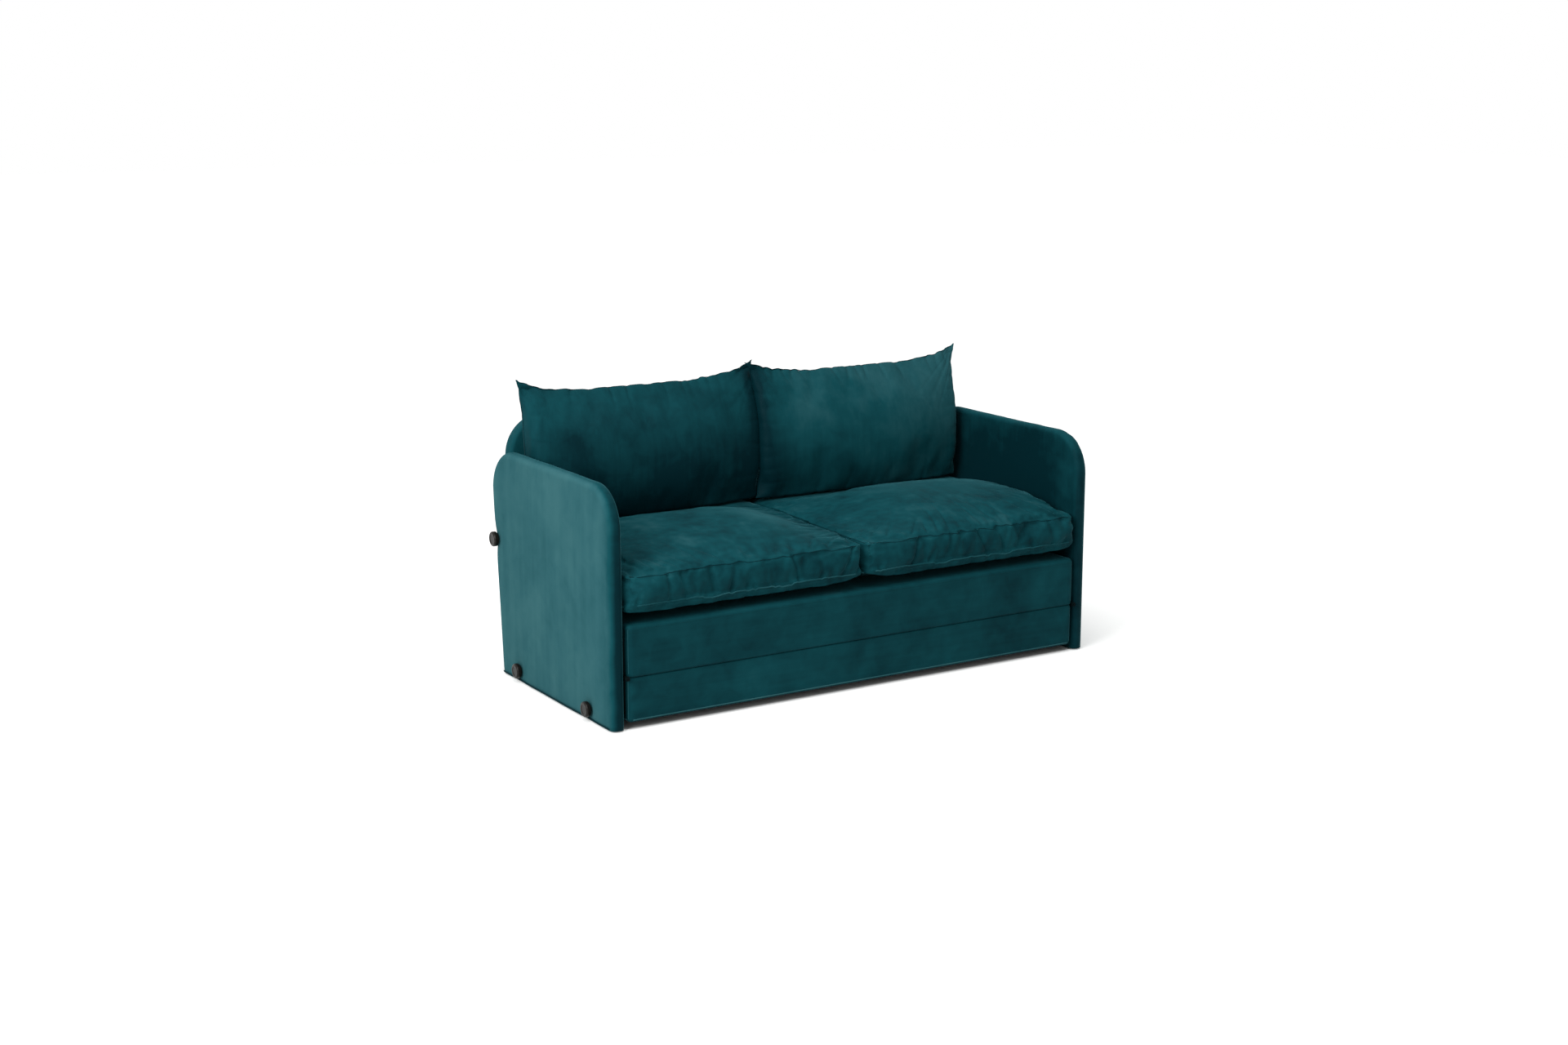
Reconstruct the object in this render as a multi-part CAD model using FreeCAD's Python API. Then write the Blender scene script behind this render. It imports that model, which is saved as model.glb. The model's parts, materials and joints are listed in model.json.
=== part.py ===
"""Two-seat sofa bed that folds out in three sections, with knock-down arms and loose back cushions.

Millimetres, +Z up, the front faces -Y, and the origin is on the floor below the middle of the whole sofa.
Left is -X. The left-hand pieces are built first and mirrored for the right.
"""

import FreeCAD
import Part

import math
import os

V = FreeCAD.Vector
ORIGIN = V(0, 0, 0)
X_AXIS = V(1, 0, 0)
Y_AXIS = V(0, 1, 0)
Z_AXIS = V(0, 0, 1)
TINY = 1e-4

# Upholstery layers
COVER = 2.0  # velvet with its backing
LAYER_GAP = 0.3  # slack between one soft layer and the next
SHEET = 0.8  # black lining cloth

# Arms
ARM_SPAN = 1600.0  # outside of one arm to the outside of the other
ARM_THICKNESS = 38.0
ARM_DEPTH = 694.0  # along the floor
ARM_HEIGHT = 660.0
ARM_CORNER_RADIUS = 120.0
ARM_EDGE_RADIUS = 9.0
ARM_BOARD = 18.0
ARM_EDGE_FOAM = 4.0
GLIDE_HEIGHT = 4.0
GLIDE_LENGTH = 80.0
GLIDE_WIDTH = 14.0
GLIDE_INSET = 60.0
REAR_RAKE_DEG = 4.8  # the arms' rear edges and the back panel lean back together

# Base and fold-out section
SIDE_GAP = 10.0  # room for the hinge plates beside each arm
BASE_BOTTOM = 21.0
FOLD_AXIS_Z = 146.0  # height of the seam between the two bands
SECTION_GAP = 0.3  # each section stands this far from the seam's plane
FOLD_THICKNESS = 141.7
FOLD_PROUD = 3.0  # the upper band stands in front of the lower one
AXIS_PROUD = 0.7  # the fold axis lies in front of the upper band
BOX_EDGE_RADIUS = 10.0
FRONT_FOAM = 18.0
REAR_FOAM = 4.0
END_FOAM = 6.0
RAIL_HEIGHT = 50.0
RAIL_WIDTH = 28.0
SLAT_THICKNESS = 12.0
SLAT_WIDTH = 60.0
SLAT_COUNT = 12
FOOT_RADIUS_TOP = 20.0
FOOT_RADIUS_FLOOR = 16.0
FOOT_FRONT_SETBACK = 150.0  # far enough back to stay out of sight
FOOT_REAR_SETBACK = 60.0

# Back panel
BACK_HEIGHT = 745.0
BACK_THICKNESS = 46.0
BACK_CORNER_RADIUS = 120.0
BACK_EDGE_RADIUS = 8.0
BACK_CORE = 24.0
BACK_WADDING = 4.0  # behind the core
POST_WIDTH = 60.0
TOP_RAIL_HEIGHT = 70.0
BOTTOM_RAIL_HEIGHT = 80.0
WEB_WIDTH = 60.0
WEB_THICKNESS = 2.0
WEB_COUNT = 4
WEDGE_LENGTH = 120.0
WEDGE_LOW = 36.0
WEDGE_HIGH = 118.0
WEDGE_X = (200.0, 560.0)
BOLT_RADIUS = 4.0
BOLT_HEAD_RADIUS = 7.0
BOLT_HEAD_HEIGHT = 5.0
BOLT_Z = 56.0
BOLT_ROOM = 0.3

# Hand knobs
KNOB_RADIUS = 22.0
KNOB_HEIGHT = 17.0
KNOB_EDGE = 5.0
KNOB_GAP = 0.4
COLLAR_RADIUS = 15.0
COLLAR_HEIGHT = 3.0
DISH_RADIUS = 14.0
DISH_DEPTH = 1.2
STUD_RADIUS = 5.0
STUD_GRIP = 11.0  # length of stud held in the knob
STUD_ROOM = 1.0  # around the stud where it passes through
FIT = 0.05  # radial running fit
INSERT_RADIUS = 7.0
INSERT_LENGTH = 24.0
SPACER_RADIUS = 13.0
KNOB_LOW_Z = 34.0
KNOB_FRONT_SETBACK = 139.0
KNOB_REAR_SETBACK = 117.0
KNOB_BACK_Z = 397.0

# Fold hinge
PLATE = 3.0
PLATE_CLEAR = 0.4
PLATE_LENGTH = 100.0
PLATE_REACH = 104.0  # how far the plates reach up or down from the axis
PLATE_CORNER = 3.0
PLATE_SETBACK = 22.0  # the blades start this far behind the axis
NECK_WIDTH = 9.0  # between an eye and its blade
PAD_SETBACK = 18.0
EYE_RADIUS = 6.5
PIN_RADIUS = 3.0
PIN_HEAD_RADIUS = 5.0
PIN_HEAD_HEIGHT = 2.0

# Seat cushions and the cloth hinge behind them
SEAT_OVERHANG = 20.0  # how far the seat cushions bulge past the arms
SEAT_CLEAR = 0.4
SEAT_SIDE_CLEAR = 2.0
SEAT_LOW_SEAM = 334.0
SEAT_HIGH_SEAM = 427.0
SEAT_CROWN = 480.0
SEAT_SHELF_Z = 445.0  # flattened strip under the back cushions
SEAT_SHELF_DEPTH = 120.0
SEAT_BULGE = 8.0
SEAT_DRAW = 5.0  # front and rear are drawn in this far between the corners
SEAT_TUCK = 55.0  # underside curves up from here
SEAT_ROLL = 14.0  # the outline shrinks this far at the cushion's two ends
SEAT_ROLL_POWER = 22  # how late the roll begins
SEAT_CORNER = 0.86  # share of the half length where the corners stand furthest out
SEAT_SEAM_STEP = 2.0  # the top seam lies this far inside the low one
SEAT_LOW_RISE = 0.3  # share of the roll that lifts the low seam at the ends
SEAT_HIGH_DROP = 0.6  # share of the roll that lowers the top seam at the ends
SEAT_END_CROWN = 5.0  # crown that is left at the ends
SEAT_CROWN_POWER = 2.5  # how far the crown's flat middle reaches
SEAT_CROWN_FALL = 0.8  # how softly it falls towards the ends
SEAT_TUCK_BEND = 0.3
CORD_RADIUS = 2.5
CORD_SETBACK = 4.2  # cord axis behind the fold-out section
LOOP_WALL = 1.2
LOOP_TONGUE = 42.0
TAB_LAP = 12.0  # the tabs reach this far past the middle of the cushion's rear
LOOP_GAP = 2.0
LOOPS_PER_SEAT = 7  # four hold the cord and three swing with the cushion

# Back cushions
PILLOW_SIDE_CLEAR = 4.0
PILLOW_TOP = 829.0
PILLOW_EAR = 40.0
PILLOW_FRONT_SAG = 74.0
PILLOW_REAR_SAG = 76.0
PILLOW_SEAM = 8.0
PILLOW_FOOT_FRONT = 42.0
PILLOW_FOOT_REAR = 6.0
PILLOW_EDGE_SAG = 4.0
PILLOW_SIDE_DRAW = 10.0  # the side seams are drawn in this far between the corners
PILLOW_SWELL_POWER = 3  # how far the full middle reaches
PILLOW_SWELL_FALL = 0.6  # how softly it thins towards the side seams
PILLOW_EAR_POWER = 3
PILLOW_CLEAR = 0.5

# Derived places
RAKE = math.radians(REAR_RAKE_DEG)
SLOPE = math.tan(RAKE)
PANEL_LENGTH = (BACK_HEIGHT - BASE_BOTTOM) / math.cos(RAKE)
PANEL_LEAN = BASE_BOTTOM * SLOPE + (PANEL_LENGTH - BACK_EDGE_RADIUS) * math.sin(RAKE)
PANEL_REACH = PANEL_LEAN + BACK_EDGE_RADIUS * (1 - math.cos(RAKE))
WHOLE_DEPTH = SEAT_OVERHANG + ARM_DEPTH + PANEL_REACH
FRONT = SEAT_OVERHANG - WHOLE_DEPTH / 2
REAR_FOOT = FRONT + ARM_DEPTH
HALF_INNER = ARM_SPAN / 2 - ARM_THICKNESS
HALF_WIDTH = HALF_INNER - SIDE_GAP
RAIL_END = HALF_WIDTH - COVER - LAYER_GAP - END_FOAM
SOFT = COVER + LAYER_GAP


def panel_front(z):
    """Where the back panel's front face stands at a height."""
    return REAR_FOOT + z * SLOPE - BACK_THICKNESS / math.cos(RAKE)


BASE_REAR = panel_front(BASE_BOTTOM) - LAYER_GAP
BASE_TOP = FOLD_AXIS_Z - SECTION_GAP
FOLD_BOTTOM = FOLD_AXIS_Z + SECTION_GAP
FOLD_TOP = FOLD_BOTTOM + FOLD_THICKNESS
FOLD_FRONT = FRONT - FOLD_PROUD
FOLD_REAR = BASE_REAR
FOLD_AXIS_Y = FOLD_FRONT - AXIS_PROUD
SEAT_BOTTOM = FOLD_TOP + SEAT_CLEAR
CORD_Y = FOLD_REAR + CORD_SETBACK
CORD_Z = FOLD_TOP + SEAT_CLEAR / 2
CORE_REAR = SOFT + BACK_WADDING
CORE_FRONT = CORE_REAR + BACK_CORE


def outline_face(corners, place):
    """Flat face from corners (a, b, radius), each rounded by a tangent arc where it has a radius."""
    points = [V(a, b, 0) for a, b, radius in corners]
    spans = []
    for i, (a, b, radius) in enumerate(corners):
        back = (points[i - 1] - points[i]).normalize()
        ahead = (points[(i + 1) % len(points)] - points[i]).normalize()
        half = back.getAngle(ahead) / 2
        reach = radius / math.tan(half)
        bisector = (back + ahead).normalize()
        middle = points[i] + bisector * (radius / math.sin(half) - radius)
        spans.append((points[i] + back * reach, middle, points[i] + ahead * reach))
    edges = []
    for i, (start, middle, end) in enumerate(spans):
        if corners[i][2] > 0:
            arc = Part.Arc(place(start.x, start.y), place(middle.x, middle.y), place(end.x, end.y))
            edges.append(arc.toShape())
        after = spans[(i + 1) % len(spans)][0]
        edges.append(Part.LineSegment(place(end.x, end.y), place(after.x, after.y)).toShape())
    return Part.Face(Part.Wire(edges))


def prism_x(corners, x0, x1):
    """Outline in (y, z) carried along X."""
    face = outline_face(corners, lambda a, b: V(x0, a, b))
    return face.extrude(X_AXIS * (x1 - x0))


def prism_y(corners, y0, y1):
    """Outline in (x, z) carried along Y."""
    face = outline_face(corners, lambda a, b: V(a, y0, b))
    return face.extrude(Y_AXIS * (y1 - y0))


def prism_z(corners, z0, z1):
    """Outline in (x, y) carried along Z."""
    face = outline_face(corners, lambda a, b: V(a, b, z0))
    return face.extrude(Z_AXIS * (z1 - z0))


def rectangle(a0, a1, b0, b1, radius):
    return [(a0, b0, radius), (a1, b0, radius), (a1, b1, radius), (a0, b1, radius)]


def box(x0, x1, y0, y1, z0, z1):
    """Box between two corners, given in any order."""
    low = V(min(x0, x1), min(y0, y1), min(z0, z1))
    return Part.makeBox(abs(x1 - x0), abs(y1 - y0), abs(z1 - z0), low)


def rod(radius, x0, x1, y, z):
    """Round bar along X."""
    return Part.makeCylinder(radius, abs(x1 - x0), V(min(x0, x1), y, z), X_AXIS)


def tube(outer, inner, x0, x1, y, z):
    return rod(outer, x0, x1, y, z).cut(rod(inner, x0, x1, y, z))


def soften(solid, radius, chosen):
    """Rounds the chosen edges of an upholstered form."""
    return solid.makeFillet(radius, [edge for edge in solid.Edges if chosen(edge)])


def group(shapes):
    return Part.makeCompound(shapes)


def mirrored(shape):
    return shape.mirror(ORIGIN, X_AXIS)


def both_sides(shapes):
    return group(list(shapes) + [mirrored(shape) for shape in shapes])


# Knob places, (y, z), shared by everything that a stud passes through
BACK_KNOB_INSET = (CORE_REAR + CORE_FRONT) / 2 / math.cos(RAKE)
KNOB_PLACES = {
    "front": (FRONT + KNOB_FRONT_SETBACK, KNOB_LOW_Z),
    "rear": (REAR_FOOT - KNOB_REAR_SETBACK, KNOB_LOW_Z),
    "back": (REAR_FOOT + KNOB_BACK_Z * SLOPE - BACK_KNOB_INSET, KNOB_BACK_Z),
}


def stud_holes():
    """Clearance holes for the studs, from outside the left arm to the rails and posts, and on the right."""
    radius = STUD_RADIUS + STUD_ROOM
    holes = [rod(radius, -ARM_SPAN / 2 - 1, -RAIL_END, y, z) for y, z in KNOB_PLACES.values()]
    return both_sides(holes)


def insert_holes():
    radius = INSERT_RADIUS + FIT
    inner = -RAIL_END + INSERT_LENGTH
    return both_sides([rod(radius, -RAIL_END, inner, y, z) for y, z in KNOB_PLACES.values()])


STUD_HOLES = stud_holes()
INSERT_HOLES = insert_holes()


def arm_outline(inset, bottom):
    rear_foot = REAR_FOOT - inset / math.cos(RAKE)
    top = ARM_HEIGHT - inset
    radius = ARM_CORNER_RADIUS - inset
    return [
        (FRONT + inset, bottom, 0),
        (rear_foot + bottom * SLOPE, bottom, 0),
        (rear_foot + top * SLOPE, top, radius),
        (FRONT + inset, top, radius),
    ]


def arm_form(inset, bottom):
    """Left arm's soft outer form, set in on all sides but its open foot."""
    x0 = -ARM_SPAN / 2 + inset
    x1 = -HALF_INNER - inset
    solid = prism_x(arm_outline(inset, bottom), x0, x1)

    def on_face(edge):
        xs = [vertex.X for vertex in edge.Vertexes]
        flat = abs(xs[0] - xs[-1]) < TINY
        return flat and max(vertex.Z for vertex in edge.Vertexes) > bottom + TINY

    return soften(solid, ARM_EDGE_RADIUS - inset, on_face)


def arm_board():
    """Core board of the left arm, drilled for the three studs."""
    margin = (ARM_THICKNESS - ARM_BOARD) / 2
    outline = arm_outline(SOFT + ARM_EDGE_FOAM, GLIDE_HEIGHT)
    return prism_x(outline, -ARM_SPAN / 2 + margin, -HALF_INNER - margin)


def arm_parts():
    """Board, foam wrap and velvet sock of the left arm."""
    board = arm_board()
    foam = arm_form(SOFT, GLIDE_HEIGHT).cut(board)
    cover = arm_form(0, GLIDE_HEIGHT).cut(arm_form(COVER, GLIDE_HEIGHT - COVER))
    return [shape.cut(STUD_HOLES) for shape in (board, foam, cover)]


def arm_glides():
    """Plastic glides under the arm boards."""
    middle = -ARM_SPAN / 2 + ARM_THICKNESS / 2
    x0 = middle - GLIDE_WIDTH / 2
    x1 = middle + GLIDE_WIDTH / 2
    ends = (FRONT + GLIDE_INSET, REAR_FOOT - GLIDE_INSET - GLIDE_LENGTH)
    radius = 0.45 * GLIDE_WIDTH
    return both_sides(
        [prism_z(rectangle(x0, x1, y, y + GLIDE_LENGTH, radius), 0, GLIDE_HEIGHT) for y in ends]
    )


def arm_spacers():
    """Rings on the studs that hold the arms clear of the base, the fold-out section and the back panel."""
    bore = STUD_RADIUS + STUD_ROOM
    rings = [tube(SPACER_RADIUS, bore, -HALF_INNER, -HALF_WIDTH, y, z) for y, z in KNOB_PLACES.values()]
    return both_sides(rings)


def soft_box(inset, front, rear, z_open, z_closed):
    """Upholstered box with rounded corners and one sharp open side."""
    half = HALF_WIDTH - inset
    far = z_closed - math.copysign(inset, z_closed - z_open)
    solid = box(-half, half, front + inset, rear - inset, z_open, far)

    def rounded(edge):
        return any(abs(vertex.Z - z_open) > TINY for vertex in edge.Vertexes)

    return soften(solid, BOX_EDGE_RADIUS - inset, rounded)


def box_section(front, rear, z_open, z_closed):
    """One bed section: rails and slats on the open side, foam over them, a velvet cover and a lining."""
    up = math.copysign(1, z_closed - z_open)
    rail_z = z_open + up * SHEET
    slat_z = rail_z + up * RAIL_HEIGHT
    foam_z = slat_z + up * SLAT_THICKNESS
    rail_front = front + SOFT + FRONT_FOAM
    rail_rear = rear - SOFT - REAR_FOAM
    inner = RAIL_END - RAIL_WIDTH

    front_rail = box(-RAIL_END, RAIL_END, rail_front, rail_front + RAIL_WIDTH, rail_z, slat_z)
    rear_rail = box(-RAIL_END, RAIL_END, rail_rear - RAIL_WIDTH, rail_rear, rail_z, slat_z)
    cross = []
    for x in (-RAIL_END, -RAIL_WIDTH / 2, inner):
        cross.append(
            box(x, x + RAIL_WIDTH, rail_front + RAIL_WIDTH, rail_rear - RAIL_WIDTH, rail_z, slat_z)
        )
    pitch = 2 * inner / SLAT_COUNT
    slats = []
    for i in range(SLAT_COUNT):
        x = -inner + (i + 0.5) * pitch - SLAT_WIDTH / 2
        slats.append(box(x, x + SLAT_WIDTH, rail_front, rail_rear, slat_z, foam_z))

    cavity = box(-RAIL_END, RAIL_END, rail_front, rail_rear, rail_z, foam_z)
    foam = soft_box(SOFT, front, rear, rail_z, z_closed).cut(cavity)
    hollow = soft_box(COVER, front, rear, z_open - up * COVER, z_closed)
    cover = soft_box(0, front, rear, z_open, z_closed).cut(hollow)
    half = HALF_WIDTH - SOFT
    sheet_outline = rectangle(-half, half, front + SOFT, rear - SOFT, BOX_EDGE_RADIUS - SOFT)
    sheet = prism_z(sheet_outline, z_open, rail_z)
    return {
        "front_rail": front_rail,
        "rear_rail": rear_rail,
        "cross_rails": group(cross),
        "slats": group(slats),
        "foam": foam,
        "cover": cover,
        "lining": sheet,
    }


def base_feet():
    """Short tapered feet under the three cross rails."""
    outer = RAIL_END - FOOT_RADIUS_TOP
    feet = []
    for x in (-outer, 0, outer):
        for y in (FRONT + FOOT_FRONT_SETBACK, BASE_REAR - FOOT_REAR_SETBACK):
            feet.append(Part.makeCone(FOOT_RADIUS_FLOOR, FOOT_RADIUS_TOP, BASE_BOTTOM, V(x, y, 0)))
    return group(feet)


def raked(shape):
    """Leans an upright back panel piece, built from its rear bottom edge, into its place."""
    placed = shape.copy()
    placed.rotate(ORIGIN, X_AXIS, -REAR_RAKE_DEG)
    placed.translate(V(0, REAR_FOOT + BASE_BOTTOM * SLOPE, BASE_BOTTOM))
    return placed


def panel_prism(inset, rear, front, bottom):
    """Upright panel outline, from one depth in front of its rear face to another."""
    half = HALF_WIDTH - inset
    top = PANEL_LENGTH - inset
    radius = BACK_CORNER_RADIUS - inset
    corners = [(-half, bottom, 0), (half, bottom, 0), (half, top, radius), (-half, top, radius)]
    return prism_y(corners, -rear, -front)


def panel_form(inset, bottom):
    solid = panel_prism(inset, inset, BACK_THICKNESS - inset, bottom)

    def on_face(edge):
        ys = [vertex.Y for vertex in edge.Vertexes]
        flat = abs(ys[0] - ys[-1]) < TINY
        return flat and max(vertex.Z for vertex in edge.Vertexes) > bottom + TINY

    return soften(solid, BACK_EDGE_RADIUS - inset, on_face)


def back_bolt_holes():
    return both_sides([back_bolt_bar(x, BOLT_RADIUS + BOLT_ROOM) for x in WEDGE_X])


def back_bolt_bar(x, radius):
    """Bar along Y from inside the base's rear rail to the middle of the back panel's bottom rail."""
    start = BASE_REAR - SOFT - REAR_FOAM - RAIL_WIDTH
    end = REAR_FOOT + BOLT_Z * SLOPE - (CORE_REAR + BACK_WADDING) / math.cos(RAKE)
    return Part.makeCylinder(radius, end - start, V(x, start, BOLT_Z), Y_AXIS)


def back_bolts():
    bolts = []
    for x in WEDGE_X:
        shank = back_bolt_bar(x, BOLT_RADIUS)
        start = shank.BoundBox.YMin
        head_base = V(x, start - BOLT_HEAD_HEIGHT, BOLT_Z)
        head = Part.makeCylinder(BOLT_HEAD_RADIUS, BOLT_HEAD_HEIGHT, head_base, Y_AXIS)
        bolts.append(shank.fuse(head).removeSplitter())
    return both_sides(bolts)


def back_wedges():
    """Tapered blocks that turn the base's upright rear into the back panel's rake."""
    outline = [
        (BASE_REAR, WEDGE_LOW, 0),
        (panel_front(WEDGE_LOW), WEDGE_LOW, 0),
        (panel_front(WEDGE_HIGH), WEDGE_HIGH, 0),
        (BASE_REAR, WEDGE_HIGH, 0),
    ]
    half = WEDGE_LENGTH / 2
    return both_sides([prism_x(outline, x - half, x + half) for x in WEDGE_X])


def back_parts():
    """Frame, webbing, foam and cover of the raked back panel."""
    edge = SOFT + END_FOAM
    core = panel_prism(edge, CORE_REAR, CORE_FRONT, 0)
    half = HALF_WIDTH - edge
    inner = half - POST_WIDTH
    top = PANEL_LENGTH - edge
    deep = (0, -BACK_THICKNESS)
    posts = [core.common(box(-half, -inner, *deep, 0, top)), core.common(box(inner, half, *deep, 0, top))]
    top_rail = core.common(box(-inner, inner, *deep, top - TOP_RAIL_HEIGHT, top))
    bottom_rail = core.common(box(-inner, inner, *deep, 0, BOTTOM_RAIL_HEIGHT))

    low = BOTTOM_RAIL_HEIGHT
    high = PANEL_LENGTH - BACK_CORNER_RADIUS - TOP_RAIL_HEIGHT
    pitch = (high - low) / WEB_COUNT
    web_front = -CORE_FRONT - WEB_THICKNESS
    straps = []
    for i in range(WEB_COUNT):
        z = low + (i + 0.5) * pitch - WEB_WIDTH / 2
        straps.append(box(-half, half, web_front, -CORE_FRONT, z, z + WEB_WIDTH))
    webbing = group(straps)

    foam = panel_form(SOFT, 0).cut(core).cut(webbing)
    cover = panel_form(0, 0).cut(panel_form(COVER, -COVER))
    pieces = {
        "back_posts": group(posts),
        "back_top_rail": top_rail,
        "back_bottom_rail": bottom_rail,
        "back_webbing": webbing,
        "back_foam": foam,
        "back_cover": cover,
    }
    return {name: raked(shape) for name, shape in pieces.items()}


def knob_profile():
    """Half section of a knob, as (distance out from the arm, radius) corners."""
    back = KNOB_GAP + COLLAR_HEIGHT
    return [
        (KNOB_GAP, 0, 0),
        (KNOB_GAP, COLLAR_RADIUS, 0),
        (back, COLLAR_RADIUS, 0),
        (back, KNOB_RADIUS, KNOB_EDGE / 2),
        (KNOB_HEIGHT, KNOB_RADIUS, KNOB_EDGE),
        (KNOB_HEIGHT, DISH_RADIUS, DISH_DEPTH),
        (KNOB_HEIGHT - DISH_DEPTH, DISH_RADIUS - 2 * DISH_DEPTH, DISH_DEPTH),
        (KNOB_HEIGHT - DISH_DEPTH, 0, 0),
    ]


def knob_and_stud(y, z):
    """Moulded knob outside the left arm, and the stud that it turns."""
    face = outline_face(knob_profile(), lambda out, radius: V(-out, 0, radius))
    knob = face.revolve(ORIGIN, X_AXIS, 360)
    knob.translate(V(-ARM_SPAN / 2, y, z))
    outer = -ARM_SPAN / 2 - STUD_GRIP
    knob = knob.cut(rod(STUD_RADIUS + FIT, outer, -ARM_SPAN / 2, y, z))
    stud = rod(STUD_RADIUS, outer, -RAIL_END + INSERT_LENGTH, y, z)
    return knob, stud


def threaded_inserts():
    """Sleeves in the side rails and back posts that take the studs."""
    inner = -RAIL_END + INSERT_LENGTH
    bore = STUD_RADIUS + FIT
    return both_sides(
        [tube(INSERT_RADIUS, bore, -RAIL_END, inner, y, z) for y, z in KNOB_PLACES.values()]
    )


def hinge_plate(x0, x1, away):
    """Plate in one layer beside the left arm: an eye on the fold axis, a neck, and a blade up or down."""
    half = NECK_WIDTH / 2
    low, high = sorted((FOLD_AXIS_Z - away * half, FOLD_AXIS_Z + away * PLATE_REACH))
    front = FOLD_AXIS_Y + PLATE_SETBACK
    rear = FOLD_AXIS_Y + PLATE_LENGTH
    blade = prism_x(rectangle(front, rear, low, high, PLATE_CORNER), x0, x1)
    neck = box(x0, x1, FOLD_AXIS_Y, front + PLATE_CORNER, FOLD_AXIS_Z - half, FOLD_AXIS_Z + half)
    eye = rod(EYE_RADIUS, x0, x1, FOLD_AXIS_Y, FOLD_AXIS_Z)
    return eye.fuse([neck, blade]).removeSplitter()


def fold_hinge():
    """Base plates, fold plates with their offset mounting pads, and pins."""
    base_outer = -HALF_WIDTH - PLATE
    fold_inner = base_outer - PLATE_CLEAR
    fold_outer = fold_inner - PLATE
    bore = rod(PIN_RADIUS + FIT, -HALF_INNER, -HALF_WIDTH, FOLD_AXIS_Y, FOLD_AXIS_Z)
    base_plate = hinge_plate(base_outer, -HALF_WIDTH, -1).cut(bore)
    pad_front = FOLD_AXIS_Y + EYE_RADIUS + PAD_SETBACK
    pad_low = FOLD_AXIS_Z + EYE_RADIUS
    pad_outline = rectangle(
        pad_front, FOLD_AXIS_Y + PLATE_LENGTH, pad_low, FOLD_AXIS_Z + PLATE_REACH, PLATE_CORNER
    )
    pad = prism_x(pad_outline, fold_inner, -HALF_WIDTH)
    fold_plate = hinge_plate(fold_outer, fold_inner, 1).fuse(pad).removeSplitter().cut(bore)
    head_inner = fold_outer - PLATE_CLEAR
    shank = rod(PIN_RADIUS, head_inner, -HALF_WIDTH, FOLD_AXIS_Y, FOLD_AXIS_Z)
    head = rod(PIN_HEAD_RADIUS, head_inner - PIN_HEAD_HEIGHT, head_inner, FOLD_AXIS_Y, FOLD_AXIS_Z)
    pin = shank.fuse(head).removeSplitter()
    return base_plate, fold_plate, pin


def seat_hinge():
    """Piping cord behind the left seat, loops that hold it, and tabs that swing on it with the cushion."""
    x0 = -HALF_WIDTH
    x1 = -SEAT_SIDE_CLEAR
    cord = rod(CORD_RADIUS, x0, x1, CORD_Y, CORD_Z)
    outer = CORD_RADIUS + FIT + LOOP_WALL
    tab_top = (SEAT_LOW_SEAM + SEAT_SHELF_Z) / 2 + TAB_LAP
    pitch = (x1 - x0) / LOOPS_PER_SEAT
    loops = []
    tabs = []
    for i in range(LOOPS_PER_SEAT):
        a = x0 + i * pitch + LOOP_GAP / 2
        b = x0 + (i + 1) * pitch - LOOP_GAP / 2
        ring = rod(outer, a, b, CORD_Y, CORD_Z)
        if i % 2 == 0:
            tongue = box(a, b, FOLD_REAR, FOLD_REAR + LOOP_WALL, CORD_Z - LOOP_TONGUE, CORD_Z)
            kept = loops
        else:
            face = FOLD_REAR + LAYER_GAP
            tongue = box(a, b, face, face + LOOP_WALL, CORD_Z, tab_top)
            kept = tabs
        bore = rod(CORD_RADIUS + FIT, a, b, CORD_Y, CORD_Z)
        kept.append(ring.fuse(tongue).removeSplitter().cut(bore))
    return cord, loops, tabs


def closed_wire(pieces):
    """Wire from runs in (y, z) at one x: two points make a line and three an arc."""
    edges = []
    for run in pieces:
        if len(run) == 2:
            edges.append(Part.LineSegment(*run).toShape())
        else:
            edges.append(Part.Arc(*run).toShape())
    return Part.Wire(edges)


def seat_section(x, u, inset):
    """Section of a boxed seat cushion. u runs from -1 at one end to 1 at the other."""
    end = abs(u)
    roll = SEAT_ROLL * end**SEAT_ROLL_POWER + inset
    draw = SEAT_DRAW * (1 - (end / SEAT_CORNER) ** 2)
    crown = max(0.0, 1 - end**SEAT_CROWN_POWER) ** SEAT_CROWN_FALL
    front = FRONT - SEAT_OVERHANG + SEAT_BULGE + draw + roll
    rear = FOLD_REAR - SEAT_BULGE - roll
    bottom = SEAT_BOTTOM + inset
    low = SEAT_LOW_SEAM + SEAT_LOW_RISE * roll
    high = SEAT_HIGH_SEAM - SEAT_HIGH_DROP * roll
    shelf = SEAT_SHELF_Z - SEAT_HIGH_DROP * roll
    shelf_front = FOLD_REAR - SEAT_SHELF_DEPTH
    top_front = front + SEAT_SEAM_STEP
    top_rear = rear - SEAT_SEAM_STEP
    full = SEAT_CROWN - (SEAT_HIGH_SEAM + SEAT_SHELF_Z) / 2 - SEAT_END_CROWN
    top = (high + shelf) / 2 + SEAT_END_CROWN + full * crown
    bend = SEAT_TUCK_BEND * SEAT_TUCK
    lift = SEAT_TUCK_BEND * (low - bottom)

    def at(y, z):
        return V(x, y, z)

    runs = [
        (at(rear - SEAT_TUCK, bottom), at(front + SEAT_TUCK, bottom)),
        (at(front + SEAT_TUCK, bottom), at(front + bend, bottom + lift), at(front, low)),
        (at(front, low), at(front - SEAT_BULGE, (low + high) / 2), at(top_front, high)),
        (at(top_front, high), at((top_front + shelf_front) / 2, top), at(shelf_front, shelf)),
        (at(shelf_front, shelf), at(top_rear, shelf)),
        (at(top_rear, shelf), at(rear + SEAT_BULGE, (low + shelf) / 2), at(rear, low)),
        (at(rear, low), at(rear - bend, bottom + lift), at(rear - SEAT_TUCK, bottom)),
    ]
    return closed_wire(runs)


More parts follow.
